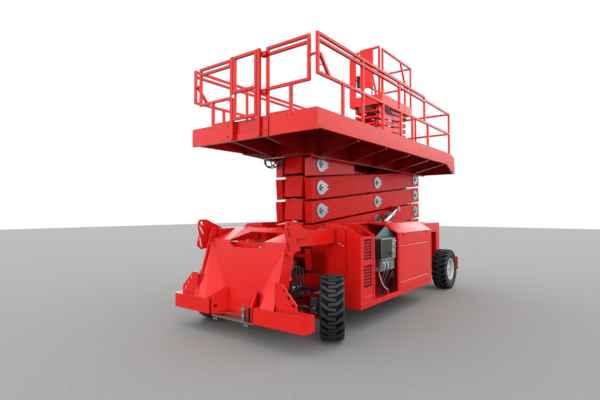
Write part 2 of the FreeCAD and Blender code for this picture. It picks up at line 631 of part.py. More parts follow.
def nose():
    """The hopper shaped nose: raked sides, folded corner plates, a tapering middle plate and a pocket."""
    side_in, side_out = NOSE_SIDE_Y, NOSE_SIDE_Y + NOSE_SIDE_T
    middle = NOSE_SIDE_Y + NOSE_SIDE_T / 2
    base = BUMPER_Z + BUMPER_H
    back_x = NOSE_TOP_X - NOSE_DEPTH
    bumper_back = BUMPER_FRONT - BUMPER_D
    side = prism_xz([
        (NOSE_TOP_X, NOSE_TOP_Z), (BUMPER_FRONT - 5.0, base - 20.0), (bumper_back - 20.0, base - 20.0),
        (back_x, NOSE_TOP_Z - 420.0), (back_x, NOSE_TOP_Z),
    ], side_in, side_out)
    # folded corner: from the raked side edge down to the middle plate's edge, standing on the bumper
    low, face = BUMPER_Z + 4.0, BUMPER_FRONT - 15.0
    mid_x = plate_x(PLATE_MID_Z)
    corner = {
        "top": (plate_x(PLATE_TOP_Z), middle, PLATE_TOP_Z), "mid": (mid_x, PLATE_MID_Y, PLATE_MID_Z),
        "crest": (face, CREST_Y, base - 8.0), "edge": (face, middle, base - 8.0),
        "mid_low": (mid_x, PLATE_MID_Y, low), "crest_low": (face, CREST_Y, low),
        "edge_low": (face, middle, low), "back_low": (mid_x - 20.0, middle, low),
    }
    fold = polyhedron(corner, [
        ["top", "mid", "crest"], ["top", "crest", "edge"], ["mid", "mid_low", "crest_low", "crest"],
        ["crest", "crest_low", "edge_low", "edge"], ["edge", "edge_low", "back_low", "top"],
        ["mid_low", "back_low", "edge_low", "crest_low"], ["top", "back_low", "mid_low"],
        ["top", "mid_low", "mid"],
    ])
    bumper = prism_xy([
        (bumper_back, BUMPER_IN), (BUMPER_FRONT, BUMPER_IN), (BUMPER_FRONT, BUMPER_OUT - BUMPER_BEVEL),
        (BUMPER_FRONT - BUMPER_BEVEL, BUMPER_OUT), (bumper_back, BUMPER_OUT),
    ], BUMPER_Z, base)
    # the plate with three lightening holes that stands on the bumper outside the nose
    hole_x0, hole_x1 = BUMPER_FRONT - 65.0, BUMPER_FRONT - 47.0
    hole_plate = prism_yz([
        (side_out - 10.0, base - 10.0), (side_out + 320.0, base - 10.0), (side_out + 320.0, base + 112.0),
        (side_out + 95.0, base + 332.0), (side_out - 10.0, base + 332.0),
    ], hole_x0, hole_x1)
    for out, up in HOLES:
        y, z = side_out + out, base + up
        hole_plate = hole_plate.cut(rod((hole_x0 - 5.0, y, z), (hole_x1 + 5.0, y, z), HOLE_R))
    left = [side, fold, bumper, hole_plate, cheek_plate()] + hood(back_x)
    # legs that carry the nose on the main rails
    leg_in, leg_out = RAIL_Y - LEG_HALF, RAIL_Y + LEG_HALF
    left.append(box(FRAME_LEN_FRONT, back_x + 20.0, leg_in, leg_out, RAIL_Z + 20.0, NOSE_TOP_Z - 390.0))
    left.append(box(FRAME_LEN_FRONT, mid_x, leg_in, leg_out, RAIL_Z + 20.0, RAIL_Z + 200.0))
    inner_wall = box(back_x, back_x + 20.0, -side_in - 1.0, side_in + 1.0,
                     NOSE_TOP_Z - 400.0, PLATE_TOP_Z - 35.0)
    rear_strip = prism_xz([
        (MOUTH_REAR_X + 10.0, MOUTH_REAR_Z - HOOD_T), (MOUTH_REAR_X + 10.0, MOUTH_REAR_Z),
        (MOUTH_REAR_X - 55.0, HOOD_REAR_Z),
        (MOUTH_REAR_X - 80.0, HOOD_REAR_Z), (MOUTH_REAR_X - 80.0, HOOD_REAR_Z - HOOD_T),
        (MOUTH_REAR_X - 60.0, HOOD_REAR_Z - HOOD_T),
    ], -HOOD_CREASE_Y + 20.0, HOOD_CREASE_Y - 20.0)
    return join(both_sides(left) + middle_plates() + [inner_wall, rear_strip])


def plate_x(z):
    """X of the leaning middle plate's front face at a height."""
    return PLATE_TOP_X + (PLATE_TOP_Z - z) * PLATE_LEAN


def middle_plates():
    """The tapering plate with its notch, and the pocket's back wall and floor below it."""
    back = vec(-NOSE_PLATE_T, 0, 0)
    top_y, mid_y = NOSE_SIDE_Y + NOSE_SIDE_T - 3.0, PLATE_MID_Y + 18.0
    outline = [(top_y, PLATE_TOP_Z), (mid_y, PLATE_MID_Z), (mid_y, POCKET_TOP_Z)]
    outline += [(-y, z) for y, z in reversed(outline)]
    plate = prism([vec(plate_x(z), y, z) for y, z in outline], back)
    plate = plate.cut(prism_yz([
        (-MOUTH_HALF, PLATE_TOP_Z + 10.0), (MOUTH_HALF, PLATE_TOP_Z + 10.0), (MOUTH_HALF - 14.0, NOTCH_Z + 48.0),
        (NOTCH_HALF, NOTCH_Z), (-NOTCH_HALF, NOTCH_Z), (-MOUTH_HALF + 14.0, NOTCH_Z + 48.0),
    ], PLATE_TOP_X - 60.0, PLATE_TOP_X + 60.0))
    wall_x = plate_x(POCKET_TOP_Z)
    wall = box(wall_x - NOSE_PLATE_T, wall_x, -mid_y, mid_y, BUMPER_Z, POCKET_TOP_Z)
    floor = [(wall_x - NOSE_PLATE_T, PLATE_MID_Y - 30.0), (POCKET_FLOOR_X, cheek_y(POCKET_FLOOR_X) + 8.0),
             (POCKET_FLOOR_X, cheek_y(POCKET_FLOOR_X) - 10.0), (wall_x + 35.0, 210.0)]
    floor += [(x, -y) for x, y in reversed(floor)]
    return [plate, wall, prism_xy(floor, BUMPER_Z, BUMPER_Z + NOSE_PLATE_T)]


def cheek_y(x):
    """Y of the inner face of the pocket's splayed cheek at X."""
    start = plate_x(POCKET_TOP_Z)
    return CHEEK_BACK_Y + (x - start) * (CHEEK_FRONT_Y - CHEEK_BACK_Y) / (BUMPER_FRONT - start)


def cheek_plate():
    """One splayed cheek of the pocket with its round hole."""
    root = plate_x(PLATE_MID_Z) - 9.0
    low = TOW_BAR_Z + TOW_BAR_T
    outline = [
        (root, low + 12.0), (root, PLATE_MID_Z + 1.0), (root + 40.0, PLATE_MID_Z - 8.0),
        (BUMPER_FRONT - 104.0, PLATE_MID_Z - 50.0), (BUMPER_FRONT - 30.0, PLATE_MID_Z - 100.0),
        (BUMPER_FRONT - 5.0, PLATE_MID_Z - 135.0), (BUMPER_FRONT - 3.0, low + 50.0), (BUMPER_FRONT - 20.0, low),
        (BUMPER_FRONT - 110.0, low),
    ]
    out = vec(-(CHEEK_FRONT_Y - CHEEK_BACK_Y), BUMPER_FRONT - plate_x(POCKET_TOP_Z), 0)
    out.normalize()
    plate = prism([vec(x, cheek_y(x), z) for x, z in outline], out * CHEEK_T)
    x, z = CHEEK_HOLE
    centre = vec(x, cheek_y(x), z)
    return plate.cut(Part.makeCylinder(CHEEK_HOLE_R, CHEEK_T + 10.0, centre - out * 5.0, out))


def hood(back_x):
    """The hood beside the mouth: it rises to the rear, with a crease that falls to the mouth's edge."""
    lap_x, out_y = PLATE_TOP_X - NOSE_PLATE_T / 2, BEAM_Y - BEAM_IN
    top = {
        "front_out": (lap_x, out_y, PLATE_TOP_Z), "front_in": (lap_x, MOUTH_HALF, PLATE_TOP_Z),
        "rear_in": (MOUTH_REAR_X, MOUTH_HALF, MOUTH_REAR_Z), "crease": (MOUTH_REAR_X, HOOD_CREASE_Y, HOOD_REAR_Z),
        "rear_out": (MOUTH_REAR_X, out_y, HOOD_REAR_Z),
    }
    corners = dict(top)
    corners.update({f"{name}_low": (x, y, z - HOOD_T) for name, (x, y, z) in top.items()})
    sheet = polyhedron(corners, [
        ["front_out", "front_in", "crease", "rear_out"], ["front_in", "rear_in", "crease"],
        ["front_out_low", "rear_out_low", "crease_low", "front_in_low"], ["front_in_low", "crease_low", "rear_in_low"],
        ["front_in", "front_out", "front_out_low", "front_in_low"],
        ["rear_in", "front_in", "front_in_low", "rear_in_low"],
        ["crease", "rear_in", "rear_in_low", "crease_low"],
        ["rear_out", "crease", "crease_low", "rear_out_low"],
        ["front_out", "rear_out", "rear_out_low", "front_out_low"],
    ])
    slope = (HOOD_REAR_Z - PLATE_TOP_Z) / (lap_x - MOUTH_REAR_X)
    edge_x = back_x + 7.0
    edge_z = PLATE_TOP_Z + (lap_x - edge_x) * slope
    strip = prism_xz([(lap_x, PLATE_TOP_Z - HOOD_T), (edge_x, edge_z - HOOD_T), (edge_x, edge_z), (lap_x, PLATE_TOP_Z)],
                     out_y, NOSE_SIDE_Y)
    return [sheet, strip]


def tow_bar():
    """The flat bar under the pocket, with a shackle at each side and an upright latch."""
    bar_front = BUMPER_FRONT - 25.0
    bar_x = bar_front - TOW_BAR_W
    middle = bar_front - TOW_BAR_W / 2
    top = TOW_BAR_Z + TOW_BAR_T
    pieces = [box(bar_x, bar_front, -TOW_BAR_HALF, TOW_BAR_HALF, TOW_BAR_Z, top)]
    for y in SHACKLE_Y:
        low = TOW_BAR_Z - SHACKLE_DROP
        for leg_y in (y - SHACKLE_HALF, y + SHACKLE_HALF):
            pieces.append(rod((middle, leg_y, low), (middle, leg_y, TOW_BAR_Z + TOW_BAR_T / 2), SHACKLE_R))
        reach = SHACKLE_HALF + 2 * SHACKLE_R
        pieces.append(pin_y(middle, low, y - reach, y + reach, SHACKLE_R + 3.0))
    body_top = top + 150.0
    pieces.append(box(middle - 18.0, middle + 18.0, LATCH_Y - 22.0, LATCH_Y + 22.0, TOW_BAR_Z + 5.0, body_top))
    pieces.append(rod((middle, LATCH_Y, body_top - 20.0), (middle, LATCH_Y, LATCH_TOP), 14.0))
    return join(pieces)


def lugs():
    """Tall plates at the nose's upper corners, with a hole and two slots for lifting and lashing."""
    x0, z0 = NOSE_TOP_X, NOSE_TOP_Z
    plate = prism_xz([(x0 + x, z0 + z) for x, z in LUG_OUTLINE], LUG_Y, LUG_Y + LUG_T)
    low, high = LUG_Y - 1.0, LUG_Y + LUG_T + 1.0
    cuts = [pin_y(x0 + LUG_EYE[0], z0 + LUG_EYE[1], low, high, LUG_EYE_R)]
    for start, end in LUG_SLOTS:
        a = vec(x0 + start[0], low, z0 + start[1])
        b = vec(x0 + end[0], low, z0 + end[1])
        across = (b - a).cross(vec(0, 1, 0))
        across.normalize()
        across = across * LUG_SLOT_R
        cuts.append(prism([a - across, a + across, b + across, b - across], vec(0, high - low, 0)))
        cuts += [pin_y(point.x, point.z, low, high, LUG_SLOT_R) for point in (a, b)]
    for cut in cuts:
        plate = plate.cut(cut)
    return plate


def tail():
    """The tail box, open to the front, with a slot for the arms' ends and the rear bumper under it."""
    front, back = FRAME_LEN_REAR, TAIL_FACE + TAIL_SET
    inner = back + TAIL_PLATE
    top = BEAM_Z + BEAM_H
    wall_in = TAIL_HALF - TAIL_WALL
    bumper_top = TAIL_BUMPER_Z + TAIL_BUMPER_H
    shell = box(back, front, -TAIL_HALF, TAIL_HALF, TAIL_LOW, top)
    hollow = box(inner, front + 1.0, -wall_in, wall_in, TAIL_FLOOR, BEAM_Z - 20.0)
    slot = box(inner, front + 1.0, -TAIL_SLOT_HALF, TAIL_SLOT_HALF, TAIL_FLOOR, top + 1.0)
    bumper_out = BUMPER_OUT - 5.0
    bumper = box(TAIL_FACE, TAIL_FACE + TAIL_BUMPER_T, -bumper_out, bumper_out, TAIL_BUMPER_Z, bumper_top)
    core = box(TAIL_FACE + TAIL_BUMPER_T - 1.0, TAIL_FACE + TAIL_CORE_D, -TAIL_HALF, TAIL_HALF,
               TAIL_BUMPER_Z + 40.0, bumper_top)
    foot = box(back, front, RAIL_Y - LEG_HALF, RAIL_Y + LEG_HALF, RAIL_Z + 10.0, RAIL_Z + 200.0)
    return join([shell.cut(hollow).cut(slot), bumper, core] + both_sides([foot]))


# Main scissor stack

def keeper(x, z, y0, y1):
    """The plated keeper over a pin's end: a disc with a tapered tail that a bolt holds."""
    lean = (KEEPER_R - KEEPER_TIP_R) / KEEPER_TAIL
    across = math.sqrt(1.0 - lean ** 2)
    disc = pin_y(x, z, y0, y1, KEEPER_R)
    tip = pin_y(x - KEEPER_TAIL, z, y0, y1, KEEPER_TIP_R)
    big_x, big_z = x - KEEPER_R * lean, KEEPER_R * across
    tip_x, tip_z = x - KEEPER_TAIL - KEEPER_TIP_R * lean, KEEPER_TIP_R * across
    tail_plate = prism_xz([(big_x, z + big_z), (tip_x, z + tip_z), (tip_x, z - tip_z), (big_x, z - big_z)], y0, y1)
    head = pin_y(x, z, y0, y1 + KEEPER_HEAD, PIN_R - 5.0)
    return join([disc, tip, tail_plate, head])


def arm_in_place(shape, x, z, rising_back):
    """Turns an arm that was built level behind its front pin, and sets it on that pin."""
    placed = shape.copy()
    placed.rotate(vec(0, 0, 0), vec(0, 1, 0), STACK_DEG if rising_back else -STACK_DEG)
    placed.translate(vec(x, 0, z))
    return placed


def outer_arm(level):
    """The pair of outer beams of one level with the three pins that join them."""
    half_depth = ARM_DEPTH / 2
    side = box(-ARM_LEN - ARM_END, ARM_END, OUTER_Y, OUTER_Y + OUTER_T, -half_depth, half_depth)
    span = OUTER_Y + 1.0
    pieces = both_sides([side])
    front_reach = BRACKET_Y + BRACKET_T if level == 1 else span
    pieces.append(pin_y(0, 0, -front_reach, front_reach, PIN_R))
    pieces.append(pin_y(-ARM_LEN / 2, 0, -span, span, PIN_R))
    if level < LEVELS:
        pieces.append(pin_y(-ARM_LEN, 0, -span, span, PIN_R))
    else:
        for y0, y1 in ((60.0, span), (-span, -60.0)):
            pieces.append(pin_y(-ARM_LEN, 0, y0, y1, PIN_R - 5.0))
        for y0, y1 in ((62.0, 62.0 + ROLLER_W), (-62.0 - ROLLER_W, -62.0)):
            pieces.append(pin_y(-ARM_LEN, 0, y0, y1, ROLLER_R))
    shape = join(pieces)
    if level == 1:
        shape = join([shape] + both_sides([cylinder_ear()]))
    return arm_in_place(shape, PIN_X, PIN_Z + (level - 1) * LEVEL_RISE, True)


def cylinder_ear():
    """The tall plate on the lowest outer arm that takes the lift cylinder's eye, in the arm's level frame."""
    dx, dz = CYL_EYE[0] - PIN_X, CYL_EYE[1] - PIN_Z
    turn = math.radians(-STACK_DEG)
    ex = dx * math.cos(turn) + dz * math.sin(turn)
    ez = -dx * math.sin(turn) + dz * math.cos(turn)
    y0 = OUTER_Y + OUTER_T
    plate = prism_xz([(ex - 150.0, -100.0), (ex + 190.0, -100.0), (ex + 70.0, ez - 30.0), (ex + 50.0, ez + 55.0),
                      (ex - 50.0, ez + 55.0), (ex - 70.0, ez - 30.0)], y0 + EAR_GAP, y0 + EAR_GAP + 28.0)
    foot = box(ex - 140.0, ex + 170.0, y0 - 1.0, y0 + EAR_GAP + 1.0, -90.0, ARM_DEPTH / 2 - 12.0)
    boss = pin_y(ex, ez, y0 + 20.0, CYL_Y - CYL_EYE_HALF - RUN, CLEVIS_R - 14.0)
    return join([plate, foot, boss])


def inner_arm(level):
    """The single box arm in the middle of one level, bored for the pins."""
    half_depth = ARM_DEPTH / 2
    shape = box(-ARM_LEN - ARM_END, ARM_END, -INNER_HALF, INNER_HALF, -half_depth, half_depth)
    holes = [0.0, -ARM_LEN / 2]
    if level > 1:
        holes.append(-ARM_LEN)
    for x in holes:
        shape = shape.cut(pin_y(x, 0, -INNER_HALF - 1.0, INNER_HALF + 1.0, PIN_R + RUN))
    if level == 1:
        reach = OUTER_Y + OUTER_T
        pieces = [shape, pin_y(-ARM_LEN, 0, -reach, reach, PIN_R - 5.0)]
        for y0, y1 in ((reach - ROLLER_W, reach - 1.0), (-reach + 1.0, -reach + ROLLER_W)):
            pieces.append(pin_y(-ARM_LEN, 0, y0, y1, ROLLER_R))
        shape = join(pieces)
    return arm_in_place(shape, PIN_X, PIN_Z + level * LEVEL_RISE, False)


def arm_keepers(level):
    """The plated pin keepers on one outer pair, both sides."""
    y0 = OUTER_Y + OUTER_T
    spots = [-ARM_LEN / 2, -ARM_LEN]
    plates = [keeper(x, 0, y0, y0 + KEEPER_T) for x in spots]
    if level > 1:
        plates.append(keeper(0, 0, y0, y0 + KEEPER_T))
    else:
        edge = BRACKET_Y + BRACKET_T + GAP
        stub = pin_y(0, 0, BRACKET_Y + BRACKET_T, edge + 1.0, PIN_R)
        plates.append(keeper(0, 0, edge, edge + KEEPER_T).fuse(stub))
    whole = Part.makeCompound(both_sides(plates))
    return arm_in_place(whole, PIN_X, PIN_Z + (level - 1) * LEVEL_RISE, True)


def platform_keepers():
    """The keepers over the pin that joins the top inner arm to the platform."""
    y0 = OUTER_Y + OUTER_T
    return Part.makeCompound(both_sides([keeper(PIN_X, TOP_Z, y0, y0 + KEEPER_T)]))


# Lift cylinders

def cylinder_frame(shape):
    """Moves a cylinder part, built along +X from its base pivot, onto its own line on the left."""
    dx, dz = CYL_EYE[0] - CYL_BASE[0], CYL_EYE[1] - CYL_BASE[1]
    angle = math.degrees(math.atan2(dz, -dx))
    placed = shape.copy()
    placed.rotate(vec(0, 0, 0), vec(0, 0, 1), 180)
    placed.rotate(vec(0, 0, 0), vec(0, 1, 0), angle)
    placed.translate(vec(CYL_BASE[0], CYL_Y, CYL_BASE[1]))
    return placed


CYL_LEN = math.hypot(CYL_EYE[0] - CYL_BASE[0], CYL_EYE[1] - CYL_BASE[1])


def lift_barrels():
    """Both barrels as one body, joined by nothing but their common joint."""
    eye = pin_y(0, 0, -CYL_EYE_HALF, CYL_EYE_HALF, CLEVIS_R)
    barrel = rod((CLEVIS_R - 14.0, 0, 0), (BARREL_LEN, 0, 0), BARREL_R)
    bore = rod((CLEVIS_R + 30.0, 0, 0), (BARREL_LEN + 1.0, 0, 0), ROD_R + 1.0)
    hole = pin_y(0, 0, -CYL_EYE_HALF - 2.0, CYL_EYE_HALF + 2.0, CYL_PIN_R + RUN)
    return cylinder_frame(join([eye, barrel]).cut(bore).cut(hole))


def lift_rods():
    eye = pin_y(CYL_LEN, 0, -CYL_EYE_HALF, CYL_EYE_HALF, CLEVIS_R - 8.0)
    shaft = rod((CLEVIS_R + 90.0, 0, 0), (CYL_LEN - CLEVIS_R + 24.0, 0, 0), ROD_R)
    pin = pin_y(CYL_LEN, 0, -CYL_EYE_HALF - 18.0, 4.0 - CYL_EYE_HALF, CYL_PIN_R)
    return cylinder_frame(join([eye, shaft, pin]))


# Platform

def deck():
    """Deck with its skirt, floor, spine, tapered ribs and the brackets and track for the stack."""
    front_in, rear_in = DECK_FRONT - SKIRT_T, DECK_REAR + SKIRT_T
    edge = DECK_HALF - SKIRT_T
    side_bottom, front_bottom = DECK_TOP - SIDE_SKIRT, DECK_TOP - FRONT_SKIRT
    pieces = [box(front_in, DECK_FRONT, -DECK_HALF, DECK_HALF, front_bottom, DECK_TOP)]
    gate_recess = box(DECK_FRONT - 14.0, DECK_FRONT + 1.0, -GATE_HALF, GATE_HALF, FLOOR_Z - 20.0, DECK_TOP + 1.0)
    pieces[0] = pieces[0].cut(gate_recess)
    pieces.append(box(DECK_REAR, front_in, -edge - 1.0, edge + 1.0, FLOOR_Z, FLOOR_Z + FLOOR_T))
    sides = [box(DECK_REAR, front_in + 1.0, edge, DECK_HALF, side_bottom, DECK_TOP)]
    # the tail piece, deeper than the skirt, with a slanting front lower corner
    tail_x = DECK_REAR - TAIL_LEN
    sides.append(prism_xz([
        (DECK_REAR + 250.0, side_bottom + 1.0), (DECK_REAR - 160.0, TAIL_BOTTOM), (tail_x, TAIL_BOTTOM),
        (tail_x + 40.0, TAIL_TOP), (DECK_REAR + 1.0, DECK_TOP), (DECK_REAR + 1.0, side_bottom + 1.0),
    ], edge, DECK_HALF))
    pieces.append(box(tail_x + 8.0, tail_x + 40.0, -edge - 1.0, edge + 1.0, TAIL_BOTTOM, TAIL_TOP - 20.0))
    pieces.append(box(tail_x + 30.0, DECK_REAR + 1.0, -edge - 1.0, edge + 1.0, FLOOR_Z, FLOOR_Z + FLOOR_T))
    sides.append(box(tail_x + 20.0, CROSS_FRONT + 60.0, SPINE_Y, SPINE_Y + SPINE_T, RIB_ROOT_Z, FLOOR_Z + 1.0))
    sides.append(box(tail_x + 20.0, CROSS_FRONT + 60.0, SPINE_Y - 20.0, SPINE_Y + SPINE_T + 20.0,
                     RIB_ROOT_Z - 14.0, RIB_ROOT_Z))
    for x in RIB_X:
        rib = prism_yz([(SPINE_Y, RIB_ROOT_Z), (edge + 1.0, RIB_TIP_Z), (edge + 1.0, FLOOR_Z + 1.0),
                        (SPINE_Y, FLOOR_Z + 1.0)], x - RIB_T / 2, x + RIB_T / 2)
        flange = prism_yz([(SPINE_Y, RIB_ROOT_Z - 14.0), (edge + 1.0, RIB_TIP_Z - 14.0), (edge + 1.0, RIB_TIP_Z),
                           (SPINE_Y, RIB_ROOT_Z)], x - RIB_FLANGE / 2, x + RIB_FLANGE / 2)
        sides += [rib, flange]
    # beams from the front cross member to the gate posts
    nose_beam = prism_xz([(CROSS_FRONT + 50.0, RIB_ROOT_Z + 30.0), (front_in + 1.0, front_bottom),
                          (front_in + 1.0, FLOOR_Z + 1.0), (CROSS_FRONT + 50.0, FLOOR_Z + 1.0)], 290.0, 320.0)
    sides.append(nose_beam)
    reach = SPINE_Y + 1.0
    pieces.append(box(CROSS_FRONT, CROSS_FRONT + 60.0, -reach, reach, RIB_ROOT_Z + 20.0, FLOOR_Z + 1.0))
    for x in RIB_X[1:]:
        pieces.append(box(x - 20.0, x + 20.0, -reach, reach, DECK_CROSS_Z, FLOOR_Z + 1.0))
    # gate posts' pads on the front skirt
    sides.append(box(DECK_FRONT, DECK_FRONT + 16.0, 215.0, 400.0, front_bottom, DECK_TOP))
    sides += bracket_plates() + [upper_track()]
    return join(pieces + both_sides(sides) + [pin_y(PIN_X, TOP_Z, -OUTER_Y - 1.0, OUTER_Y + 1.0, PIN_R)])


def arm_top_edge(x):
    """Height of the topmost outer arm's upper edge at X, with the stack down."""
    rise = LEVEL_RISE / STACK_SPAN
    return TOP_Z - LEVEL_RISE + (PIN_X - x) * rise + ARM_DEPTH / 2 / math.cos(math.radians(STACK_DEG))


def bracket_plates():
    """The long bracket beside the top inner arm, above the topmost outer arm and parallel to it."""
    front, back = PIN_X + ARM_END, BRACKET_BACK
    plate = prism_xz([(front, arm_top_edge(front) + BRACKET_CLEAR), (back, arm_top_edge(back) + BRACKET_CLEAR),
                      (back, TOP_Z + BRACKET_OVER), (front, TOP_Z + BRACKET_OVER)], OUTER_Y, OUTER_Y + OUTER_T)
    hanger = box(back + 40.0, front - 60.0, OUTER_Y + 30.0, OUTER_Y + 75.0, TOP_Z + 40.0, FLOOR_Z + 1.0)
    return [plate, hanger]


def upper_track():
    """One half of the channel under the spine in which the topmost outer arm's rollers run."""
    top, bottom = TOP_Z + ROLLER_R + GAP, TOP_Z - ROLLER_R - GAP
    pieces = [
        box(TRACK_END_X, TRACK_STOP_X, -1.0, 175.0, top, top + TRACK_T),
        box(TRACK_END_X, TRACK_LIP_X, -1.0, 175.0, bottom - TRACK_T, bottom),
        box(TRACK_END_X, TRACK_STOP_X, -1.0, 20.0, TOP_Z - ROLLER_R + 30.0, top + 1.0),
        box(TRACK_END_X, TRACK_LIP_X, -1.0, 20.0, bottom - 1.0, top + 1.0),
        box(TRACK_END_X, TRACK_STOP_X, 120.0, 160.0, top + TRACK_T - 1.0, FLOOR_Z + 1.0),
    ]
    return join(pieces)


def rails():
    """All the fixed guard rails round the deck, welded into one frame."""
    half = TUBE / 2
    y = DECK_HALF - half
    front_x, rear_x = DECK_FRONT - SKIRT_T - 3.0, RAIL_REAR_X
    top, second, mid = RAIL_TOP - half, RAIL_SECOND - half, RAIL_MID - half
    rear_top = RAIL_REAR_TOP - half
    front_mid = mid - FRONT_MID_DROP
    frame_y = FRONT_FRAME_OUT - half
    post_y = FRONT_FRAME_IN + half
    base = DECK_TOP
    bars = [                # from one end to the other
        # along the side
        ((front_x - half, y, top), (RAIL_FRAME_REAR_X, y, top)),
        ((front_x - half, y, second), (RAIL_FRAME_REAR_X, y, second)),
        ((RAIL_FRAME_REAR_X + half, y, rear_top), (rear_x, y, rear_top)),
        ((front_x - half, y, mid), (rear_x, y, mid)),
        ((front_x, y, mid - half), (front_x, y, top + half)),
        ((front_x - BRACE_FROM, y, second - BRACE_DROP), (front_x - BRACE_TO, y, mid)),
        ((RAIL_FRAME_REAR_X, y, mid), (RAIL_FRAME_REAR_X, y, top + half)),
        ((rear_x, y, base), (rear_x, y, rear_top + half)),
        # the frame at the front, beside the gate
        ((front_x, FRONT_FRAME_IN, top), (front_x, FRONT_FRAME_OUT, top)),
        ((front_x, FRONT_FRAME_IN, second), (front_x, FRONT_FRAME_OUT, second)),
        ((front_x, FRONT_FRAME_IN, front_mid), (front_x, FRONT_FRAME_OUT, front_mid)),
        ((front_x, frame_y, front_mid - half), (front_x, frame_y, top + half)),
        ((front_x, FRONT_POST_Y, base), (front_x, FRONT_POST_Y, front_mid)),
        ((front_x, FRONT_FRAME_IN, base + half), (front_x, FRONT_POST_Y, base + half)),
        ((front_x, post_y, base), (front_x, post_y, top + half)),
        # across the rear
        ((rear_x, 0, rear_top), (rear_x, y, rear_top)),
        ((rear_x, 0, mid), (rear_x, y, mid)),
        ((rear_x, RAIL_REAR_POST_Y, FLOOR_Z + FLOOR_T), (rear_x, RAIL_REAR_POST_Y, rear_top)),
    ]
    bars += [((x, y, base), (x, y, mid)) for x in RAIL_POSTS_LOW]
    bars += [((x, y, mid), (x, y, top)) for x in RAIL_POSTS_HIGH]
    pieces = [tube_bar(start, end) for start, end in bars]
    pieces.append(tube_bar((front_x, frame_y, FRONT_LINK_Z), (front_x, y, FRONT_LINK_Z), FRONT_LINK_W))
    # the gate's posts, with the links that tie them to the frames
    post_x = DECK_FRONT + GATE_STAND
    post_in, post_out = GATE_POST_Y - GATE_POST_W / 2, GATE_POST_Y + GATE_POST_W / 2
    pieces.append(box(post_x, post_x + TUBE, post_in, post_out, GATE_POST_FOOT, RAIL_TOP - GATE_POST_DROP))
    for z in GATE_LINKS:
        pieces.append(box(front_x - half, post_x + 1.0, post_out - 20.0, post_y, z, z + GATE_LINK_H))
    return join(both_sides(pieces))


def gate():
    """The swing gate between the posts at the front."""
    post_x = DECK_FRONT + GATE_STAND
    x = post_x + TUBE / 2
    edge = GATE_POST_Y - GATE_SIDE_GAP
    side_y = edge - GATE_SIDE_W / 2
    low, top = GATE_BARS[0] - GATE_BAR_W / 2, GATE_BARS[-1] + GATE_BAR_W / 2
    pieces = [tube_bar((x, -edge, z), (x, edge, z), GATE_BAR_W) for z in GATE_BARS]
    pieces += [tube_bar((x, y, low), (x, y, top), GATE_SIDE_W) for y in (-side_y, side_y)]
    hinge_x, hinge_y = post_x - HINGE_R - RUN, GATE_POST_Y - GATE_POST_W / 2 + 1.0
    for z in GATE_HINGES:
        leaf_low, leaf_top = z + 10.0, z + GATE_HINGE_H - 10.0
        pieces.append(rod((hinge_x, hinge_y, z), (hinge_x, hinge_y, z + GATE_HINGE_H), HINGE_R))
        pieces.append(box(hinge_x - 4.0, x - 15.0, edge - 20.0, edge, leaf_low, leaf_top))
        pieces.append(box(hinge_x - 4.0, hinge_x + 4.0, edge - 1.0, hinge_y, leaf_low, leaf_top))
    return join(pieces)


# Operator's basket and its small stack

def pedestal():
    """The stand on the deck that lifts the small stack above the skirt."""
    far = MINI_PIN_X - MINI_SPAN
    x0, x1 = far - PEDESTAL_BACK, MINI_PIN_X + PEDESTAL_FRONT
    floor = FLOOR_Z + FLOOR_T
    bottom = MINI_PIN_Z - MINI_ROLLER_LOW_R - GAP
    top = MINI_PIN_Z + MINI_ROLLER_LOW_R + GAP
    y0 = MINI_OUTER_Y + MINI_T + PEDESTAL_GAP
    y1 = y0 + PEDESTAL_W
    rail_low = bottom - PEDESTAL_RAIL_H
    sides = [
        box(x0, x1, y0, y1, rail_low, bottom),
        box(x0, x0 + PEDESTAL_POST, y0, y1, floor, rail_low + 1.0),
        box(x1 - PEDESTAL_POST, x1, y0, y1, floor, rail_low + 1.0),
        box(x0, x1, y0, y1, floor, floor + PEDESTAL_SOLE_H),
    ]
    lug = box(MINI_PIN_X - PEDESTAL_LUG_HALF, MINI_PIN_X + PEDESTAL_LUG_HALF, y0, y0 + PEDESTAL_LUG_T,
              bottom - 1.0, MINI_PIN_Z + 50.0)
    sides.append(lug.cut(pin_y(MINI_PIN_X, MINI_PIN_Z, y0 - 1.0, y1, MINI_PIN_R + RUN)))
    # the track for the lowest rollers
    track_x0, track_x1 = far - GUIDE_BACK, far + GUIDE_LEN
    sides.append(box(track_x0, track_x1, y0 - 2.0, y0 + PEDESTAL_LEDGE_T, bottom - 1.0, top + 10.0))
    sides.append(box(track_x0, track_x1, MINI_OUTER_Y - 3.0, y0 + 1.0, bottom - PEDESTAL_LEDGE_T, bottom))
    across = [box(x, x + PEDESTAL_W, -y0 - 1.0, y0 + 1.0, rail_low, rail_low + PEDESTAL_W)
              for x in (x0 + 5.0, x1 - 50.0)]
    return join(both_sides(sides) + across)


def mini_place(shape, x, z, rising_back):
    placed = shape.copy()
    placed.rotate(vec(0, 0, 0), vec(0, 1, 0), MINI_DEG if rising_back else -MINI_DEG)
    placed.translate(vec(x, 0, z))
    return placed


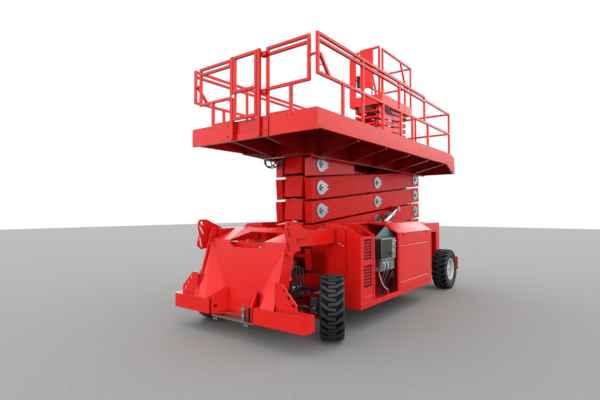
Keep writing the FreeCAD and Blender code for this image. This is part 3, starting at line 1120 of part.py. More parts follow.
def mini_outer(level):
    half = MINI_DEPTH / 2
    side = box(-MINI_ARM_LEN - MINI_END, MINI_END, MINI_OUTER_Y, MINI_OUTER_Y + MINI_T, -half, half)
    reach = MINI_OUTER_Y + MINI_T
    front = reach + PEDESTAL_GAP + PEDESTAL_LUG_T if level == 1 else reach
    pieces = both_sides([side])
    pieces.append(pin_y(0, 0, -front, front, MINI_PIN_R))
    pieces.append(pin_y(-MINI_ARM_LEN / 2, 0, -reach - 8.0, reach + 8.0, MINI_PIN_R))
    if level < MINI_LEVELS:
        pieces.append(pin_y(-MINI_ARM_LEN, 0, -reach - 8.0, reach + 8.0, MINI_PIN_R))
    else:
        wheel_in, wheel_out = reach + 2.0, reach + 2.0 + MINI_ROLLER_W
        pieces.append(pin_y(-MINI_ARM_LEN, 0, -wheel_out, wheel_out, MINI_PIN_R))
        pieces += both_sides([pin_y(-MINI_ARM_LEN, 0, wheel_in, wheel_out, MINI_ROLLER_R)])
    return mini_place(join(pieces), MINI_PIN_X, MINI_PIN_Z + (level - 1) * MINI_RISE, True)


def mini_inner(level):
    half = MINI_DEPTH / 2
    side = box(-MINI_ARM_LEN - MINI_END, MINI_END, MINI_INNER_Y, MINI_INNER_Y + MINI_T, -half, half)
    spots = [0.0, -MINI_ARM_LEN / 2] + ([-MINI_ARM_LEN] if level > 1 else [])
    sleeves = [pin_y(x, 0, -MINI_INNER_Y - 1.0, MINI_INNER_Y + 1.0, MINI_PIN_R + 9.0) for x in spots]
    shape = join(both_sides([side]) + sleeves)
    bore_y = MINI_INNER_Y + MINI_T + 1.0
    for x in spots:
        shape = shape.cut(pin_y(x, 0, -bore_y, bore_y, MINI_PIN_R + RUN))
    if level == 1:
        reach = MINI_OUTER_Y + MINI_T + 6.0
        pieces = [shape, pin_y(-MINI_ARM_LEN, 0, -reach, reach, MINI_PIN_R)]
        wheel_out = MINI_OUTER_Y + MINI_ROLLER_W
        pieces += both_sides([pin_y(-MINI_ARM_LEN, 0, MINI_OUTER_Y, wheel_out, MINI_ROLLER_LOW_R)])
        shape = join(pieces)
    return mini_place(shape, MINI_PIN_X, MINI_PIN_Z + level * MINI_RISE, False)


def basket():
    """Basket with its floor pan, toe boards, column panels and tube rails."""
    front, rear = BASKET_FRONT, BASKET_FRONT - BASKET_LEN
    half, t = BASKET_HALF, BASKET_TUBE
    y = half - t / 2
    toe_top = BASKET_FLOOR + BASKET_TOE
    top = BASKET_TOP - t / 2
    front_x, rear_x, side_x = front - t / 2, rear + t / 2, front - BASKET_SIDE_START
    left, right = BASKET_POST_LEFT, BASKET_POST_RIGHT
    brace_top, brace_foot = (front - back for back in BASKET_BRACE)
    panel_y0, panel_y1, panel_z0, panel_z1 = BASKET_PANEL
    pieces = [
        box(rear, front, -half, half, BASKET_FLOOR, BASKET_FLOOR + BASKET_PAN_T),
        box(front - BASKET_SHEET_T, front, -half, half, BASKET_FLOOR, toe_top),
        box(rear, rear + BASKET_SHEET_T, -half, half, BASKET_FLOOR, toe_top),
        box(front - BASKET_PANEL_T, front, panel_y0, panel_y1, panel_z0, panel_z1),
        box(front - BASKET_COLUMN_T, front, -half, right, toe_top - 1.0, BASKET_COLUMN_TOP),
    ]
    across = [              # from one end to the other
        ((front_x, right, BASKET_FRONT_LOW), (front_x, left + 10.0, BASKET_FRONT_HIGH)),
        ((front_x, left, toe_top), (front_x, left, BASKET_FRONT_HIGH)),
        ((front_x, right, toe_top), (front_x, right, BASKET_FRONT_LOW)),
        ((front_x, right, BASKET_FRONT_MID), (front_x, left + 10.0, BASKET_FRONT_MID)),
        ((rear_x, -y, top), (rear_x, y, top)),
        ((rear_x, -y, BASKET_MID), (rear_x, y, BASKET_MID)),
    ]
    along = [               # from one end to the other
        ((side_x, y, top), (rear, y, top)),
        ((side_x, y, toe_top), (side_x, y, BASKET_TOP)),
        ((rear_x, y, toe_top), (rear_x, y, BASKET_TOP)),
        ((side_x, y, BASKET_MID), (rear, y, BASKET_MID)),
        ((brace_top, y, top), (brace_foot, y, BASKET_MID)),
        ((brace_foot, y, toe_top), (brace_foot, y, BASKET_MID)),
    ]
    side = [tube_bar(start, end, t) for start, end in along]
    side.append(box(rear, front, half - BASKET_SHEET_T, half, BASKET_FLOOR, toe_top))
    # hangers down to the top of the small stack
    reach = MINI_OUTER_Y + MINI_T
    far = MINI_PIN_X - MINI_SPAN
    hanger = box(MINI_PIN_X - HANGER_HALF, MINI_PIN_X + HANGER_HALF, MINI_OUTER_Y, reach,
                 MINI_TOP_Z - 30.0, BASKET_FLOOR + 1.0)
    side.append(hanger.fuse(pin_y(MINI_PIN_X, MINI_TOP_Z, -1.0, reach, MINI_PIN_R)))
    side.append(box(far - GUIDE_BACK, far + GUIDE_LEN, reach + 2.0, reach + 2.0 + MINI_ROLLER_LOW_R,
                    MINI_TOP_Z + MINI_ROLLER_R + GAP, BASKET_FLOOR + 1.0))
    return join(pieces + [tube_bar(start, end, t) for start, end in across] + both_sides(side))


# Side cabinets

def pod_section(inset=0.0):
    """Outline of a cabinet across the machine, optionally set in by a wall's thickness."""
    t = inset
    return [(POD_IN + t, POD_BOTTOM + t), (POD_OUT - t, POD_BOTTOM + t), (POD_OUT - t, POD_EAVE - t * 0.35),
            (POD_SHOULDER_Y - t * 0.15, POD_SHOULDER_Z - t * 1.1), (POD_IN + t, POD_RIDGE_Z - t)]


def pod(side_is_open):
    """A hollow cabinet: end walls, tray, inner wall, roof and posts. One bay is open on the left."""
    shell = prism_yz(pod_section(), POD_REAR, POD_FRONT)
    hollow = prism_yz(pod_section(POD_WALL), POD_REAR + POD_WALL, POD_FRONT - POD_WALL)
    whole = shell.cut(hollow)
    # side openings: grille bay, open bay and doorway, from the sill up to the eave
    sill = POD_BOTTOM + SILL_H
    top = POD_EAVE - EAVE_GAP
    out0, out1 = POD_OUT - POD_WALL - 20.0, POD_OUT + 1.0
    grille = box(GRILLE_REAR + POD_POST, POD_FRONT - POD_POST, out0, out1, sill, top)
    door = box(POD_REAR + POD_POST, BAY_REAR - POD_POST, out0, out1, sill, top)
    bay = box(BAY_REAR, GRILLE_REAR, out0, out1, sill, top)
    whole = whole.cut(grille).cut(door).cut(bay)
    if side_is_open:
        # the roof is open over the first two bays, between sloping frame rails
        for x0, x1 in ((GRILLE_REAR + POD_POST, POD_FRONT - POD_WALL), (BAY_REAR + 20.0, GRILLE_REAR)):
            whole = whole.cut(box(x0, x1, POD_IN + 60.0, out1, top, POD_RIDGE_Z + 1.0))
        back = box(BAY_REAR, GRILLE_REAR, out0, out1, sill, POD_RIDGE_Z)
        whole = whole.cut(back)
    return whole.removeSplitter()


def grille_panel():
    """The panel with two air grilles, in front of the first bay."""
    x0, x1 = GRILLE_REAR + POD_POST, POD_FRONT - POD_POST
    z0, z1 = POD_BOTTOM + SILL_H, POD_EAVE - EAVE_GAP
    face = POD_OUT - GRILLE_SET
    back = face - GRILLE_T
    bar_in, bar_out = back + 4.0, face - 4.0
    panel = box(x0, x1, back, face, z0, z1)
    win0, win1 = GRILLE_X
    for low, high in GRILLE_Z:
        panel = panel.cut(box(win0, win1, back - 1.0, face + 1.0, low, high))
        for i in range(1, GRILLE_ROWS):
            z = low + (high - low) * i / GRILLE_ROWS
            bar = box(win0 - 1.0, win1 + 1.0, bar_in, bar_out, z - GRILLE_BAR_HALF, z + GRILLE_BAR_HALF)
            panel = panel.fuse(bar)
        for i in range(1, GRILLE_COLUMNS):
            x = win0 + (win1 - win0) * i / GRILLE_COLUMNS
            bar = box(x - GRILLE_BAR_HALF, x + GRILLE_BAR_HALF, bar_in, bar_out, low - 1.0, high + 1.0)
            panel = panel.fuse(bar)
    ledge_low, ledge_high = LEDGE_Z
    ledge = prism_yz([(back + 4.0, ledge_high), (POD_OUT - 1.0, ledge_low), (back + 4.0, ledge_low)], *LEDGE_X)
    return panel.fuse(ledge).removeSplitter()


def pod_door(x0, x1):
    """A door with two pressed ribs, hinged along the eave."""
    z0, z1 = POD_BOTTOM + SILL_H + DOOR_GAP, POD_EAVE - EAVE_GAP - DOOR_GAP
    plate = box(x0, x1, POD_OUT - DOOR_T, POD_OUT, z0, z1)
    for z in DOOR_GROOVES:
        section = [(POD_OUT + 1.0, z - GROOVE_UNDER), (POD_OUT - GROOVE_DEPTH, z), (POD_OUT + 1.0, z + GROOVE_OVER)]
        plate = plate.cut(prism_yz(section, x0 + GROOVE_REAR, x1 - GROOVE_FRONT))
    hinge_y, hinge_z = POD_OUT + HINGE_R + RUN, POD_EAVE - EAVE_GAP
    knuckles = []
    for share in (0.12, 0.88):
        x = x0 + (x1 - x0) * share
        knuckles.append(rod((x - HINGE_HALF, hinge_y, hinge_z), (x + HINGE_HALF, hinge_y, hinge_z), HINGE_R))
        knuckles.append(box(x - HINGE_HALF, x + HINGE_HALF, POD_OUT - 1.0, hinge_y, z1 - 40.0, hinge_z - 3.0))
    return join([plate] + knuckles)


def control_boxes():
    """The electrical box on its mounting plate, and the lower box beneath it."""
    face = MOUNT_Y + MOUNT_T
    mount = prism_xz(MOUNT_PLATE, MOUNT_Y, face)
    x0, x1, z0, z1 = CONTROL_BOX
    upper = box(x0, x1, face, face + CONTROL_D, z0, z1)
    x0, x1, z0, z1 = VALVE_BOX
    lower = box(x0, x1, face, face + VALVE_D, z0, z1)
    x0, x1, z0, z1 = MOUNT_FOOT
    foot = box(x0, x1, POD_IN + POD_WALL, MOUNT_Y + 1.0, z0, z1)
    return join([mount, upper, foot]), lower


# Everything that is written out

save("chassis_frame", frame())
save("nose", nose())
save("tow_bar", tow_bar())
left_lug = lugs()
save("lifting_lugs", Part.makeCompound([left_lug, mirror_y(left_lug)]))
save("tail_frame", tail())
save("front_axle", front_axle())
save("rear_axle", rear_axle())
barrel, slide_rod = steering_parts()
save("steering_cylinder", barrel)
save("steering_rod", slide_rod)

for name, side in (("left", 1), ("right", -1)):
    save(f"knuckle_{name}", knuckle(side))
    fx, fy = front_wheel_centre(side)
    save(f"tyre_front_{name}", place_wheel(tyre(), fx, fy, steer_deg(side)))
    save(f"rim_front_{name}", place_wheel(rim(), fx, fy, steer_deg(side)))
    save(f"tyre_rear_{name}", place_wheel(tyre(), REAR_AXLE_X, side * WHEEL_TRACK_Y, 0))
    save(f"rim_rear_{name}", place_wheel(rim(), REAR_AXLE_X, side * WHEEL_TRACK_Y, 0))

save("pod_left", pod(True))
save("pod_right", mirror_y(pod(False)))
save("grille_left", grille_panel())
save("grille_right", mirror_y(grille_panel()))
door_front = BAY_REAR - POD_POST - DOOR_GAP
door_rear = POD_REAR + POD_POST + DOOR_GAP
save("door_left", pod_door(door_rear, door_front))
save("door_right", mirror_y(pod_door(door_rear, door_front)))
save("hatch_right", mirror_y(pod_door(BAY_REAR + DOOR_GAP, GRILLE_REAR - DOOR_GAP)))
control, fuse_box = control_boxes()
save("control_box", control)
save("valve_box", fuse_box)
x0, x1, y0, y1, engine_top = ENGINE
save("engine_block", mirror_y(box(x0, x1, y0, y1, POD_BOTTOM + POD_WALL, engine_top)))

for level in range(1, LEVELS + 1):
    save(f"outer_arm_{level}", outer_arm(level))
    save(f"inner_arm_{level}", inner_arm(level))
    save(f"pin_keepers_{level}", arm_keepers(level))

left_barrel, left_rod = lift_barrels(), lift_rods()
save("lift_barrels", Part.makeCompound([left_barrel, mirror_y(left_barrel)]))
save("lift_rods", Part.makeCompound([left_rod, mirror_y(left_rod)]))

save("platform_deck", deck())
save("platform_keepers", platform_keepers())
save("guard_rails", rails())
save("platform_gate", gate())
save("basket_pedestal", pedestal())
for level in range(1, MINI_LEVELS + 1):
    save(f"mini_outer_{level}", mini_outer(level))
    save(f"mini_inner_{level}", mini_inner(level))
save("basket", basket())
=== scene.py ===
import json
import math

import bmesh
import bpy
from mathutils import Matrix, Vector

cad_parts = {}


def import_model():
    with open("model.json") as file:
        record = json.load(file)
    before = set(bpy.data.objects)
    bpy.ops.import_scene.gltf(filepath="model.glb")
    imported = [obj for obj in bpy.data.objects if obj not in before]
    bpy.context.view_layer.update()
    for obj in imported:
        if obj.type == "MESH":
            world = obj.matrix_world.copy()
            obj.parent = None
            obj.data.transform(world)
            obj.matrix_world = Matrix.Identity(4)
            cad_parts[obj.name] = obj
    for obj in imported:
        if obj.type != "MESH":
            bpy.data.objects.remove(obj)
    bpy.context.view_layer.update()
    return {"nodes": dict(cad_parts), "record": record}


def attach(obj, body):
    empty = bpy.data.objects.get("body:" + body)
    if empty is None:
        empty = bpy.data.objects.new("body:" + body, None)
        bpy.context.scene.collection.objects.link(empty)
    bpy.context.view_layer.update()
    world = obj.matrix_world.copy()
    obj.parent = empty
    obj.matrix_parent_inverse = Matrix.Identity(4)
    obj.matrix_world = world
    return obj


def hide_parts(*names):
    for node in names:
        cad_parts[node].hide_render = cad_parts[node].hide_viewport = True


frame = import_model()
nodes = frame["nodes"]

# The lift stands along X with its nose at +X and its left side at +Y, in metres.
FORWARD, LEFT, UP = Vector((1.0, 0.0, 0.0)), Vector((0.0, 1.0, 0.0)), Vector((0.0, 0.0, 1.0))
SIDES = (1, -1)             # left and right, as signs of Y
SINK = 0.001                # how deep a fitting is sunk into the face it stands on

# Camera, in the place the photograph was taken from
CAMERA_AT = (6.495, 3.927, 1.644)
CAMERA_TURN = (math.radians(91.616), 0.0, math.radians(127.435))
CAMERA_LENS = 24.396
SENSOR = 36.0

# Light from the sky on matt surfaces and in reflections: its strength low down and high up,
# and the two heights of a ray's direction between which it rises
SKY_LIGHT, SKY_LIGHT_RISE = (0.58, 1.50), (0.0, 0.35)
SKY_MIRROR, SKY_MIRROR_RISE = (1.0, 2.9), (0.03, 0.15)
SKY_FORWARD = 0.08          # how much sooner the sky brightens ahead of the machine
FLOOR_SIZE = 80.0

# Colours
RED_PAINT = (0.88, 0.013, 0.010)
ARM_PAINT = (0.84, 0.011, 0.008)
ROAD_DUST = (0.30, 0.25, 0.20)
TYRE_DUST = (0.10, 0.095, 0.085)
# the near black of the painted shade in the cabinets' hollow
HOLLOW_SHADE = (0.030, 0.022, 0.021)
ASPHALT = ((0.27, 0.27, 0.26), (0.31, 0.31, 0.30))

# Painted shade inside the frame, on the front axle and under the deck: its share, its rear and
# front X, the two Y from the middle between which it fades, its lowest Z, and the two Z between
# which it fades upward
FRAME_SHADE = (0.68, -2.60, 2.60, 0.60, 0.72, 0.0, 1.0, 1.18)
AXLE_SHADE = (0.86, -2.60, 2.60, 0.95, 1.05, 0.0, 1.0, 1.18)
DECK_SHADE = (0.72, -2.775, 2.516, 1.115, 1.125, 2.470, 2.738, 2.743)
UNDERSIDE_SHADE = 0.92          # the share of painted shade on faces that look down
SOFT = 0.004                # the width over which the painted shade starts and ends

# The side cabinets' hollow, where its shade is painted into the paint: X, Y from the middle, and Z
CABINET_X = (0.330, 1.145)
CABINET_Y = (0.645, 1.165)
CABINET_Z = (0.335, 1.22)

# Wheels and tyres
FRONT_AXLE_X = 2.13
REAR_AXLE_X = -2.38
KING_PIN_Y = 0.92
KING_PIN_REACH = 0.150      # from a king pin to its wheel's middle
REAR_WHEEL_Y = 1.049
LEFT_TURN, RIGHT_TURN = 32.9, 27.0      # of the front wheels at rest, in degrees
DISC_FACE = 0.059           # the rim's disc and the hub, outboard of the wheel's middle
HUB_FACE = 0.093
TYRE_R = 0.4155
TYRE_HALF = 0.1535
CROWN_HALF = 0.105
TREAD_DEPTH = 0.026
BEAD_R = 0.212
BEAD_HALF = 0.120
LUGS = 23
LUG_ROOT = 0.004            # the lugs start this deep in the carcass
GROOVE_BAND = 0.015         # the carcass is painted dark, as shade in the grooves, this far in from its crown

# Main scissor stack
PIN_X = 1.290
PIN_Z = 0.940
ARM_LEN = 3.806
LEVELS = 4
LEVEL_RISE = 0.358
STACK_SLOPE = math.asin(LEVEL_RISE / ARM_LEN)
KEEPER_TAIL = 0.194         # from a pin to the bolt at its keeper's tip
KEEPER_Y = 0.362            # the outer face of the pins' keepers
LOW_KEEPER_Y = 0.513        # and of the lowest pin's
PIN_HEAD = 0.014            # the pin's head stands this far out of its keeper

# Lift cylinders: Y from the middle, and X and Z of the barrel's foot and of the rod's eye
CYL_Y = 0.470
CYL_BASE = (0.750, 0.850)
CYL_EYE = (-1.250, 1.700)

# The electrical box in the left cabinet's bay, and the floor under it
BOX_X = (0.360, 0.850)
BOX_Y = (1.042, 1.165)
BOX_Z = (0.905, 1.225)
BAY_FLOOR = 0.329
BOX_GLANDS = (7, 0.400, 0.068)          # their number, the first one's X, and their pitch
LOW_GLANDS = (4, 0.600, 0.055)

# Dark sheets behind the air grilles, painted shade of the hollow: X, Y from the middle, and Z of
# the two windows
GRILLE_SHADE_X = (1.215, 1.487)
GRILLE_SHADE_Y = (1.168, 1.1755)
GRILLE_SHADE_Z = ((0.560, 0.910), (0.945, 1.275))

# Hydraulics on the left main rail, ahead of the cabinet
RAIL_FACE = 0.579           # a millimetre inside the rail's outer face
PORTS_X = (2.180, 2.245, 2.310)
MANIFOLD_PORT_Z = 0.650
BLOCK_PORT_Z = 0.900

# Deck and rails
POST_FACE = 2.575           # front faces of the gate posts' pads and of the deck's front skirt
SKIRT_FACE = 2.559


# Materials

def surface(name, rough, metal=0.0, specular=0.5):
    """A material with its constant values set on the shader."""
    material = bpy.data.materials.new(name)
    material.use_nodes = True
    tree = material.node_tree
    shader = tree.nodes["Principled BSDF"]
    shader.inputs["Roughness"].default_value = rough
    shader.inputs["Metallic"].default_value = metal
    shader.inputs["Specular IOR Level"].default_value = specular
    return material, tree, shader


def place(tree):
    """The shaded point in the object's own frame."""
    return tree.nodes.new("ShaderNodeTexCoord").outputs["Object"]


def split(tree, vector):
    """X, Y and Z of a vector."""
    node = tree.nodes.new("ShaderNodeSeparateXYZ")
    tree.links.new(vector, node.inputs["Vector"])
    return node.outputs["X"], node.outputs["Y"], node.outputs["Z"]


def math_node(tree, operation, *terms):
    """A math node on terms that are outputs or plain numbers."""
    node = tree.nodes.new("ShaderNodeMath")
    node.operation = operation
    for socket, term in zip(node.inputs, terms):
        if isinstance(term, float):
            socket.default_value = term
        else:
            tree.links.new(term, socket)
    return node.outputs["Value"]


def times(tree, product, *terms):
    """The product of outputs and plain numbers."""
    for term in terms:
        product = math_node(tree, "MULTIPLY", product, term)
    return product


def spread(tree, value, low, high, to_low, to_high):
    """A value from low to high, carried over to the range from to_low to to_high and held there."""
    node = tree.nodes.new("ShaderNodeMapRange")
    limits = {"From Min": low, "From Max": high, "To Min": to_low, "To Max": to_high}
    for socket, number in limits.items():
        node.inputs[socket].default_value = number
    tree.links.new(value, node.inputs["Value"])
    return node.outputs["Result"]


def noise(tree, where, scale, detail=3.0, rough=0.5):
    """Cloudy noise, with scale for its number of clouds in a metre."""
    node = tree.nodes.new("ShaderNodeTexNoise")
    node.inputs["Scale"].default_value = scale
    node.inputs["Detail"].default_value = detail
    node.inputs["Roughness"].default_value = rough
    tree.links.new(where, node.inputs["Vector"])
    return node.outputs["Fac"]


def drifting(tree, where, scale, low=0.0, high=1.0, detail=3.0):
    """A number that drifts between low and high over the surface."""
    return spread(tree, noise(tree, where, scale, detail), 0.3, 0.7, low, high)


def mix(tree, share, first, second):
    """Mixes two colours, each a tuple or an output, by a share that is an output."""
    node = tree.nodes.new("ShaderNodeMix")
    node.data_type = "RGBA"
    tree.links.new(share, node.inputs["Factor"])
    for socket, colour in (("A", first), ("B", second)):
        slot = [s for s in node.inputs if s.name == socket and s.type == "RGBA"][0]
        if isinstance(colour, tuple):
            slot.default_value = (*colour, 1.0)
        else:
            tree.links.new(colour, slot)
    return [s for s in node.outputs if s.type == "RGBA"][0]


def shade(colour, share):
    """A colour made darker or brighter."""
    return tuple(min(1.0, c * share) for c in colour)


def bump(tree, shader, height, depth, edge):
    """A bump of some depth in metres, over edges that the shader rounds to the radius edge."""
    rounded = tree.nodes.new("ShaderNodeBevel")
    rounded.samples = 4
    rounded.inputs["Radius"].default_value = edge
    node = tree.nodes.new("ShaderNodeBump")
    node.inputs["Distance"].default_value = depth
    tree.links.new(height, node.inputs["Height"])
    tree.links.new(rounded.outputs["Normal"], node.inputs["Normal"])
    tree.links.new(node.outputs["Normal"], shader.inputs["Normal"])


def low_down(tree, where, low, high):
    """1 at the height low and below, 0 at high and above."""
    return spread(tree, split(tree, where)[2], low, high, 1.0, 0.0)


def facing_down(tree):
    """1 on faces that look down, 0 on all others."""
    normal = tree.nodes.new("ShaderNodeNewGeometry").outputs["Normal"]
    return spread(tree, split(tree, normal)[2], -0.9, -0.6, 1.0, 0.0)


def crevice_shade(tree, reach):
    """1 in narrow seams, holes and corners, where shade falls, and 0 on open faces: a mask for
    painted shade.
    """
    node = tree.nodes.new("ShaderNodeAmbientOcclusion")
    node.samples = 6
    node.inputs["Distance"].default_value = reach
    return spread(tree, node.outputs["AO"], 0.25, 0.95, 1.0, 0.0)


def inside(tree, value, low, high):
    """1 between low and high, 0 outside."""
    above = spread(tree, value, low - SOFT, low, 0.0, 1.0)
    return times(tree, above, spread(tree, value, high, high + SOFT, 1.0, 0.0))


def cabinet_shade_mask(tree, where):
    """1 on the walls inside the side cabinets, where their shade is painted in near black."""
    x, y, z = split(tree, where)
    across = math_node(tree, "ABSOLUTE", y)
    return times(tree, inside(tree, x, *CABINET_X), inside(tree, z, *CABINET_Z),
                 inside(tree, across, *CABINET_Y))


def hidden_depth(tree, where, rear_x, front_x, out_y, fade_y, foot_z, low_z, high_z):
    """1 on inner parts, 0 outside X, below foot_z, above high_z and beyond fade_y."""
    x, y, z = split(tree, where)
    low = spread(tree, z, low_z, high_z, 1.0, 0.0)
    above = spread(tree, z, foot_z - SOFT, foot_z, 0.0, 1.0)
    middle = spread(tree, math_node(tree, "ABSOLUTE", y), out_y, fade_y, 1.0, 0.0)
    return times(tree, low, above, middle, inside(tree, x, rear_x, front_x))


def paint(name, colour, rough=0.22, specular=0.22, dust=0.06, edge=0.004, cabinet=False,
          hidden_shade=None):
    """Sprayed gloss paint on plate: drifting colour, gentle waves, road dust low down, and painted
    shade on faces that look down, in crevices, in hidden parts and in hollows.
    """
    material, tree, shader = surface(name, rough, specular=specular)
    where = place(tree)
    body = mix(tree, drifting(tree, where, 1.1), shade(colour, 0.94), shade(colour, 1.04))
    speckle = spread(tree, noise(tree, where, 14.0, 6.0, 0.65), 0.45, 0.75, 0.0, dust)
    body = mix(tree, times(tree, low_down(tree, where, 0.15, 0.9), speckle), body, ROAD_DUST)
    # painted shade: faces that look down are darkened
    body = mix(tree, times(tree, facing_down(tree), UNDERSIDE_SHADE), body, shade(colour, 0.10))
    # painted shade: hidden parts inside the frame, on the axle and under the deck are darkened
    if hidden_shade:
        share, *reach = hidden_shade
        hidden = times(tree, hidden_depth(tree, where, *reach), share)
        body = mix(tree, hidden, body, shade(colour, 0.10))
    # painted shade: seams, holes and corners are darkened by their occlusion
    body = mix(tree, times(tree, crevice_shade(tree, 0.06), 0.85), body, shade(colour, 0.12))
    # painted shade: the walls inside the cabinets' hollow are darkened to near black
    if cabinet:
        body = mix(tree, cabinet_shade_mask(tree, where), body, HOLLOW_SHADE)
    tree.links.new(body, shader.inputs["Base Color"])
    worn = drifting(tree, where, 5.0, rough * 0.8, rough * 1.3)
    tree.links.new(worn, shader.inputs["Roughness"])
    bump(tree, shader, noise(tree, where, 2.2, 1.0), 0.002, edge)
    return material


def metal(name, colour, rough, grain=90.0, dirt=(0.12, 0.11, 0.10)):
    """Plated or bare metal with small scratches and stains."""
    material, tree, shader = surface(name, rough, metal=1.0)
    where = place(tree)
    stain = spread(tree, noise(tree, where, 9.0, 5.0), 0.55, 0.8, 0.0, 0.5)
    tree.links.new(mix(tree, stain, colour, dirt), shader.inputs["Base Color"])
    worn = drifting(tree, where, 25.0, rough * 0.75, rough * 1.4, detail=4.0)
    tree.links.new(worn, shader.inputs["Roughness"])
    bump(tree, shader, noise(tree, where, grain, 3.0), 0.0003, 0.002)
    return material


def rubber(name, colour=(0.016, 0.016, 0.017), dust=0.3, specular=0.3):
    """Dull rubber with pale dust in patches and a fine grain."""
    material, tree, shader = surface(name, 0.62, specular=specular)
    where = place(tree)
    dusty = spread(tree, noise(tree, where, 7.0, 6.0, 0.6), 0.42, 0.75, 0.0, dust)
    tree.links.new(mix(tree, dusty, colour, TYRE_DUST), shader.inputs["Base Color"])
    tree.links.new(drifting(tree, where, 18.0, 0.5, 0.8), shader.inputs["Roughness"])
    bump(tree, shader, noise(tree, where, 60.0, 4.0), 0.0008, 0.002)
    return material


def plastic(name, colour):
    """Moulded plastic: a slight drift of colour and a fine grain."""
    material, tree, shader = surface(name, 0.45)
    where = place(tree)
    drift = drifting(tree, where, 6.0, detail=4.0)
    tree.links.new(mix(tree, drift, shade(colour, 0.85), colour), shader.inputs["Base Color"])
    bump(tree, shader, noise(tree, where, 220.0, 2.0), 0.0002, 0.0015)
    return material


RED = paint("gloss_red", RED_PAINT)
# The frame, axle and deck paints carry painted shade in their hidden parts, the cabinet paint in
# its hollow
FRAME = paint("frame_red", RED_PAINT, hidden_shade=FRAME_SHADE)
AXLE = paint("axle_red", RED_PAINT, hidden_shade=AXLE_SHADE)
ARM = paint("arm_red", ARM_PAINT, rough=0.3, specular=0.10)
DECK = paint("deck_red", RED_PAINT, hidden_shade=DECK_SHADE)
CABINET = paint("cabinet_red", RED_PAINT, cabinet=True)
GREY = paint("box_grey", (0.20, 0.25, 0.26), rough=0.35, dust=0.1, edge=0.002)
DARK = paint("dark_steel", (0.022, 0.022, 0.024), rough=0.45, dust=0.12, edge=0.002)
WHITE = paint("rim_white", (0.82, 0.83, 0.83), rough=0.35, dust=0.2, edge=0.002)
ZINC = metal("zinc_plate", (0.38, 0.40, 0.42), 0.30)
CHROME = metal("hard_chrome", (0.44, 0.45, 0.47), 0.20, grain=200.0, dirt=(0.3, 0.3, 0.3))
WORN = metal("worn_steel", (0.26, 0.23, 0.19), 0.45, dirt=(0.10, 0.06, 0.04))
RUBBER = rubber("tyre_rubber", colour=(0.020, 0.021, 0.024), dust=0.2)
# Near-black rubber between the lugs: painted shade in the grooves
GROOVE_SHADE = rubber("tyre_groove_shade", colour=(0.002, 0.002, 0.002), dust=0.04, specular=0.1)
HOSE = rubber("hose_rubber", dust=0.1)
BLACK = plastic("black_plastic", (0.014, 0.014, 0.015))
PALE_PLASTIC = plastic("pale_plastic", (0.72, 0.72, 0.70))
ORANGE_PLASTIC = plastic("orange_plastic", (0.85, 0.25, 0.03))
BLUE_PLASTIC = plastic("blue_plastic", (0.03, 0.12, 0.55))

# The finish of each material slot, and of the CAD nodes that have one of their own
FINISH = {
    "red_paint": RED, "grey_box": GREY, "dark_steel": DARK, "zinc": ZINC, "chrome": CHROME,
    "tyre_rubber": RUBBER, "rim_grey": WHITE,
}
OWN_FINISH = {
    "pod_left": CABINET, "pod_right": CABINET, "platform_deck": DECK, "chassis_frame": FRAME,
    "front_axle": AXLE, "rear_axle": FRAME, "tow_bar": WORN,
}
for level in range(1, LEVELS + 1):
    OWN_FINISH[f"outer_arm_{level}"] = OWN_FINISH[f"inner_arm_{level}"] = ARM

for part in frame["record"]["subparts"]:
    for slot in nodes[part["node"]].material_slots:
        slot.link = "OBJECT"
        slot.material = OWN_FINISH.get(part["node"], FINISH[part["material_slot"]])


# Mesh helpers

def finish_mesh(name, work, material, body):
    """Turns a bmesh, in the machine's frame, into a piece that rides on a body."""
    mesh = bpy.data.meshes.new(name)
    bmesh.ops.recalc_face_normals(work, faces=work.faces[:])
    work.to_mesh(mesh)
    work.free()
    piece = bpy.data.objects.new(name, mesh)
    bpy.context.scene.collection.objects.link(piece)
    mesh.materials.append(material)
    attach(piece, body)
    return piece


def around(steps, start=0.0):
    """The angles of evenly spaced steps round a circle."""
    return [2 * math.pi * (i + start) / steps for i in range(steps)]


def ring(work, profile, steps):
    """Turns a closed outline of (radius, y) points about the Y axis."""
    rows = []
    for a in around(steps):
        rows.append([work.verts.new((r * math.cos(a), y, r * math.sin(a))) for r, y in profile])
    for i in range(steps):
        here, after = rows[i], rows[(i + 1) % steps]
        for j in range(len(profile)):
            k = (j + 1) % len(profile)
            work.faces.new((here[j], here[k], after[k], after[j]))


def turned(work, at, axis, outline, steps):
    """A closed turned piece: (radius, reach) pairs along an axis, capped at both ends."""
    at = Vector(at)
    side = axis.orthogonal().normalized()
    other = axis.cross(side)
    rows = []
    for radius, reach in outline:
        rows.append([work.verts.new(at + axis * reach
                                    + (side * math.cos(a) + other * math.sin(a)) * radius)
                     for a in around(steps)])
    for here, after in zip(rows, rows[1:]):
        for i in range(steps):
            k = (i + 1) % steps
            work.faces.new((here[i], here[k], after[k], after[i]))
    work.faces.new(rows[0][::-1])
    work.faces.new(rows[-1])


def bolt(work, at, axis, size):
    """A washer, a chamfered hexagon head of a radius and the stud's end, standing on a face."""
    washer = [(1.15 * size, -SINK), (1.15 * size, 0.14 * size), (1.10 * size, 0.18 * size)]
    head = [(size, 0.1 * size), (size, 0.75 * size), (0.86 * size, 0.85 * size)]
    stud = [(0.45 * size, 0.8 * size), (0.45 * size, 0.95 * size), (0.38 * size, size)]
    turned(work, at, axis, washer, 20)
    turned(work, at, axis, head, 6)
    turned(work, at, axis, stud, 12)


def slab(work, low, high, edge=0.002):
    """A box between two corners with its edges broken."""
    made = bmesh.ops.create_cube(work, size=1.0)["verts"]
    middle = (Vector(low) + Vector(high)) / 2
    for vert in made:
        vert.co = middle + Vector(c * (h - l) for c, l, h in zip(vert.co, low, high))
    edges = list(dict.fromkeys(e for v in made for e in v.link_edges))
    bmesh.ops.bevel(work, geom=edges, offset=edge, segments=2, affect="EDGES")


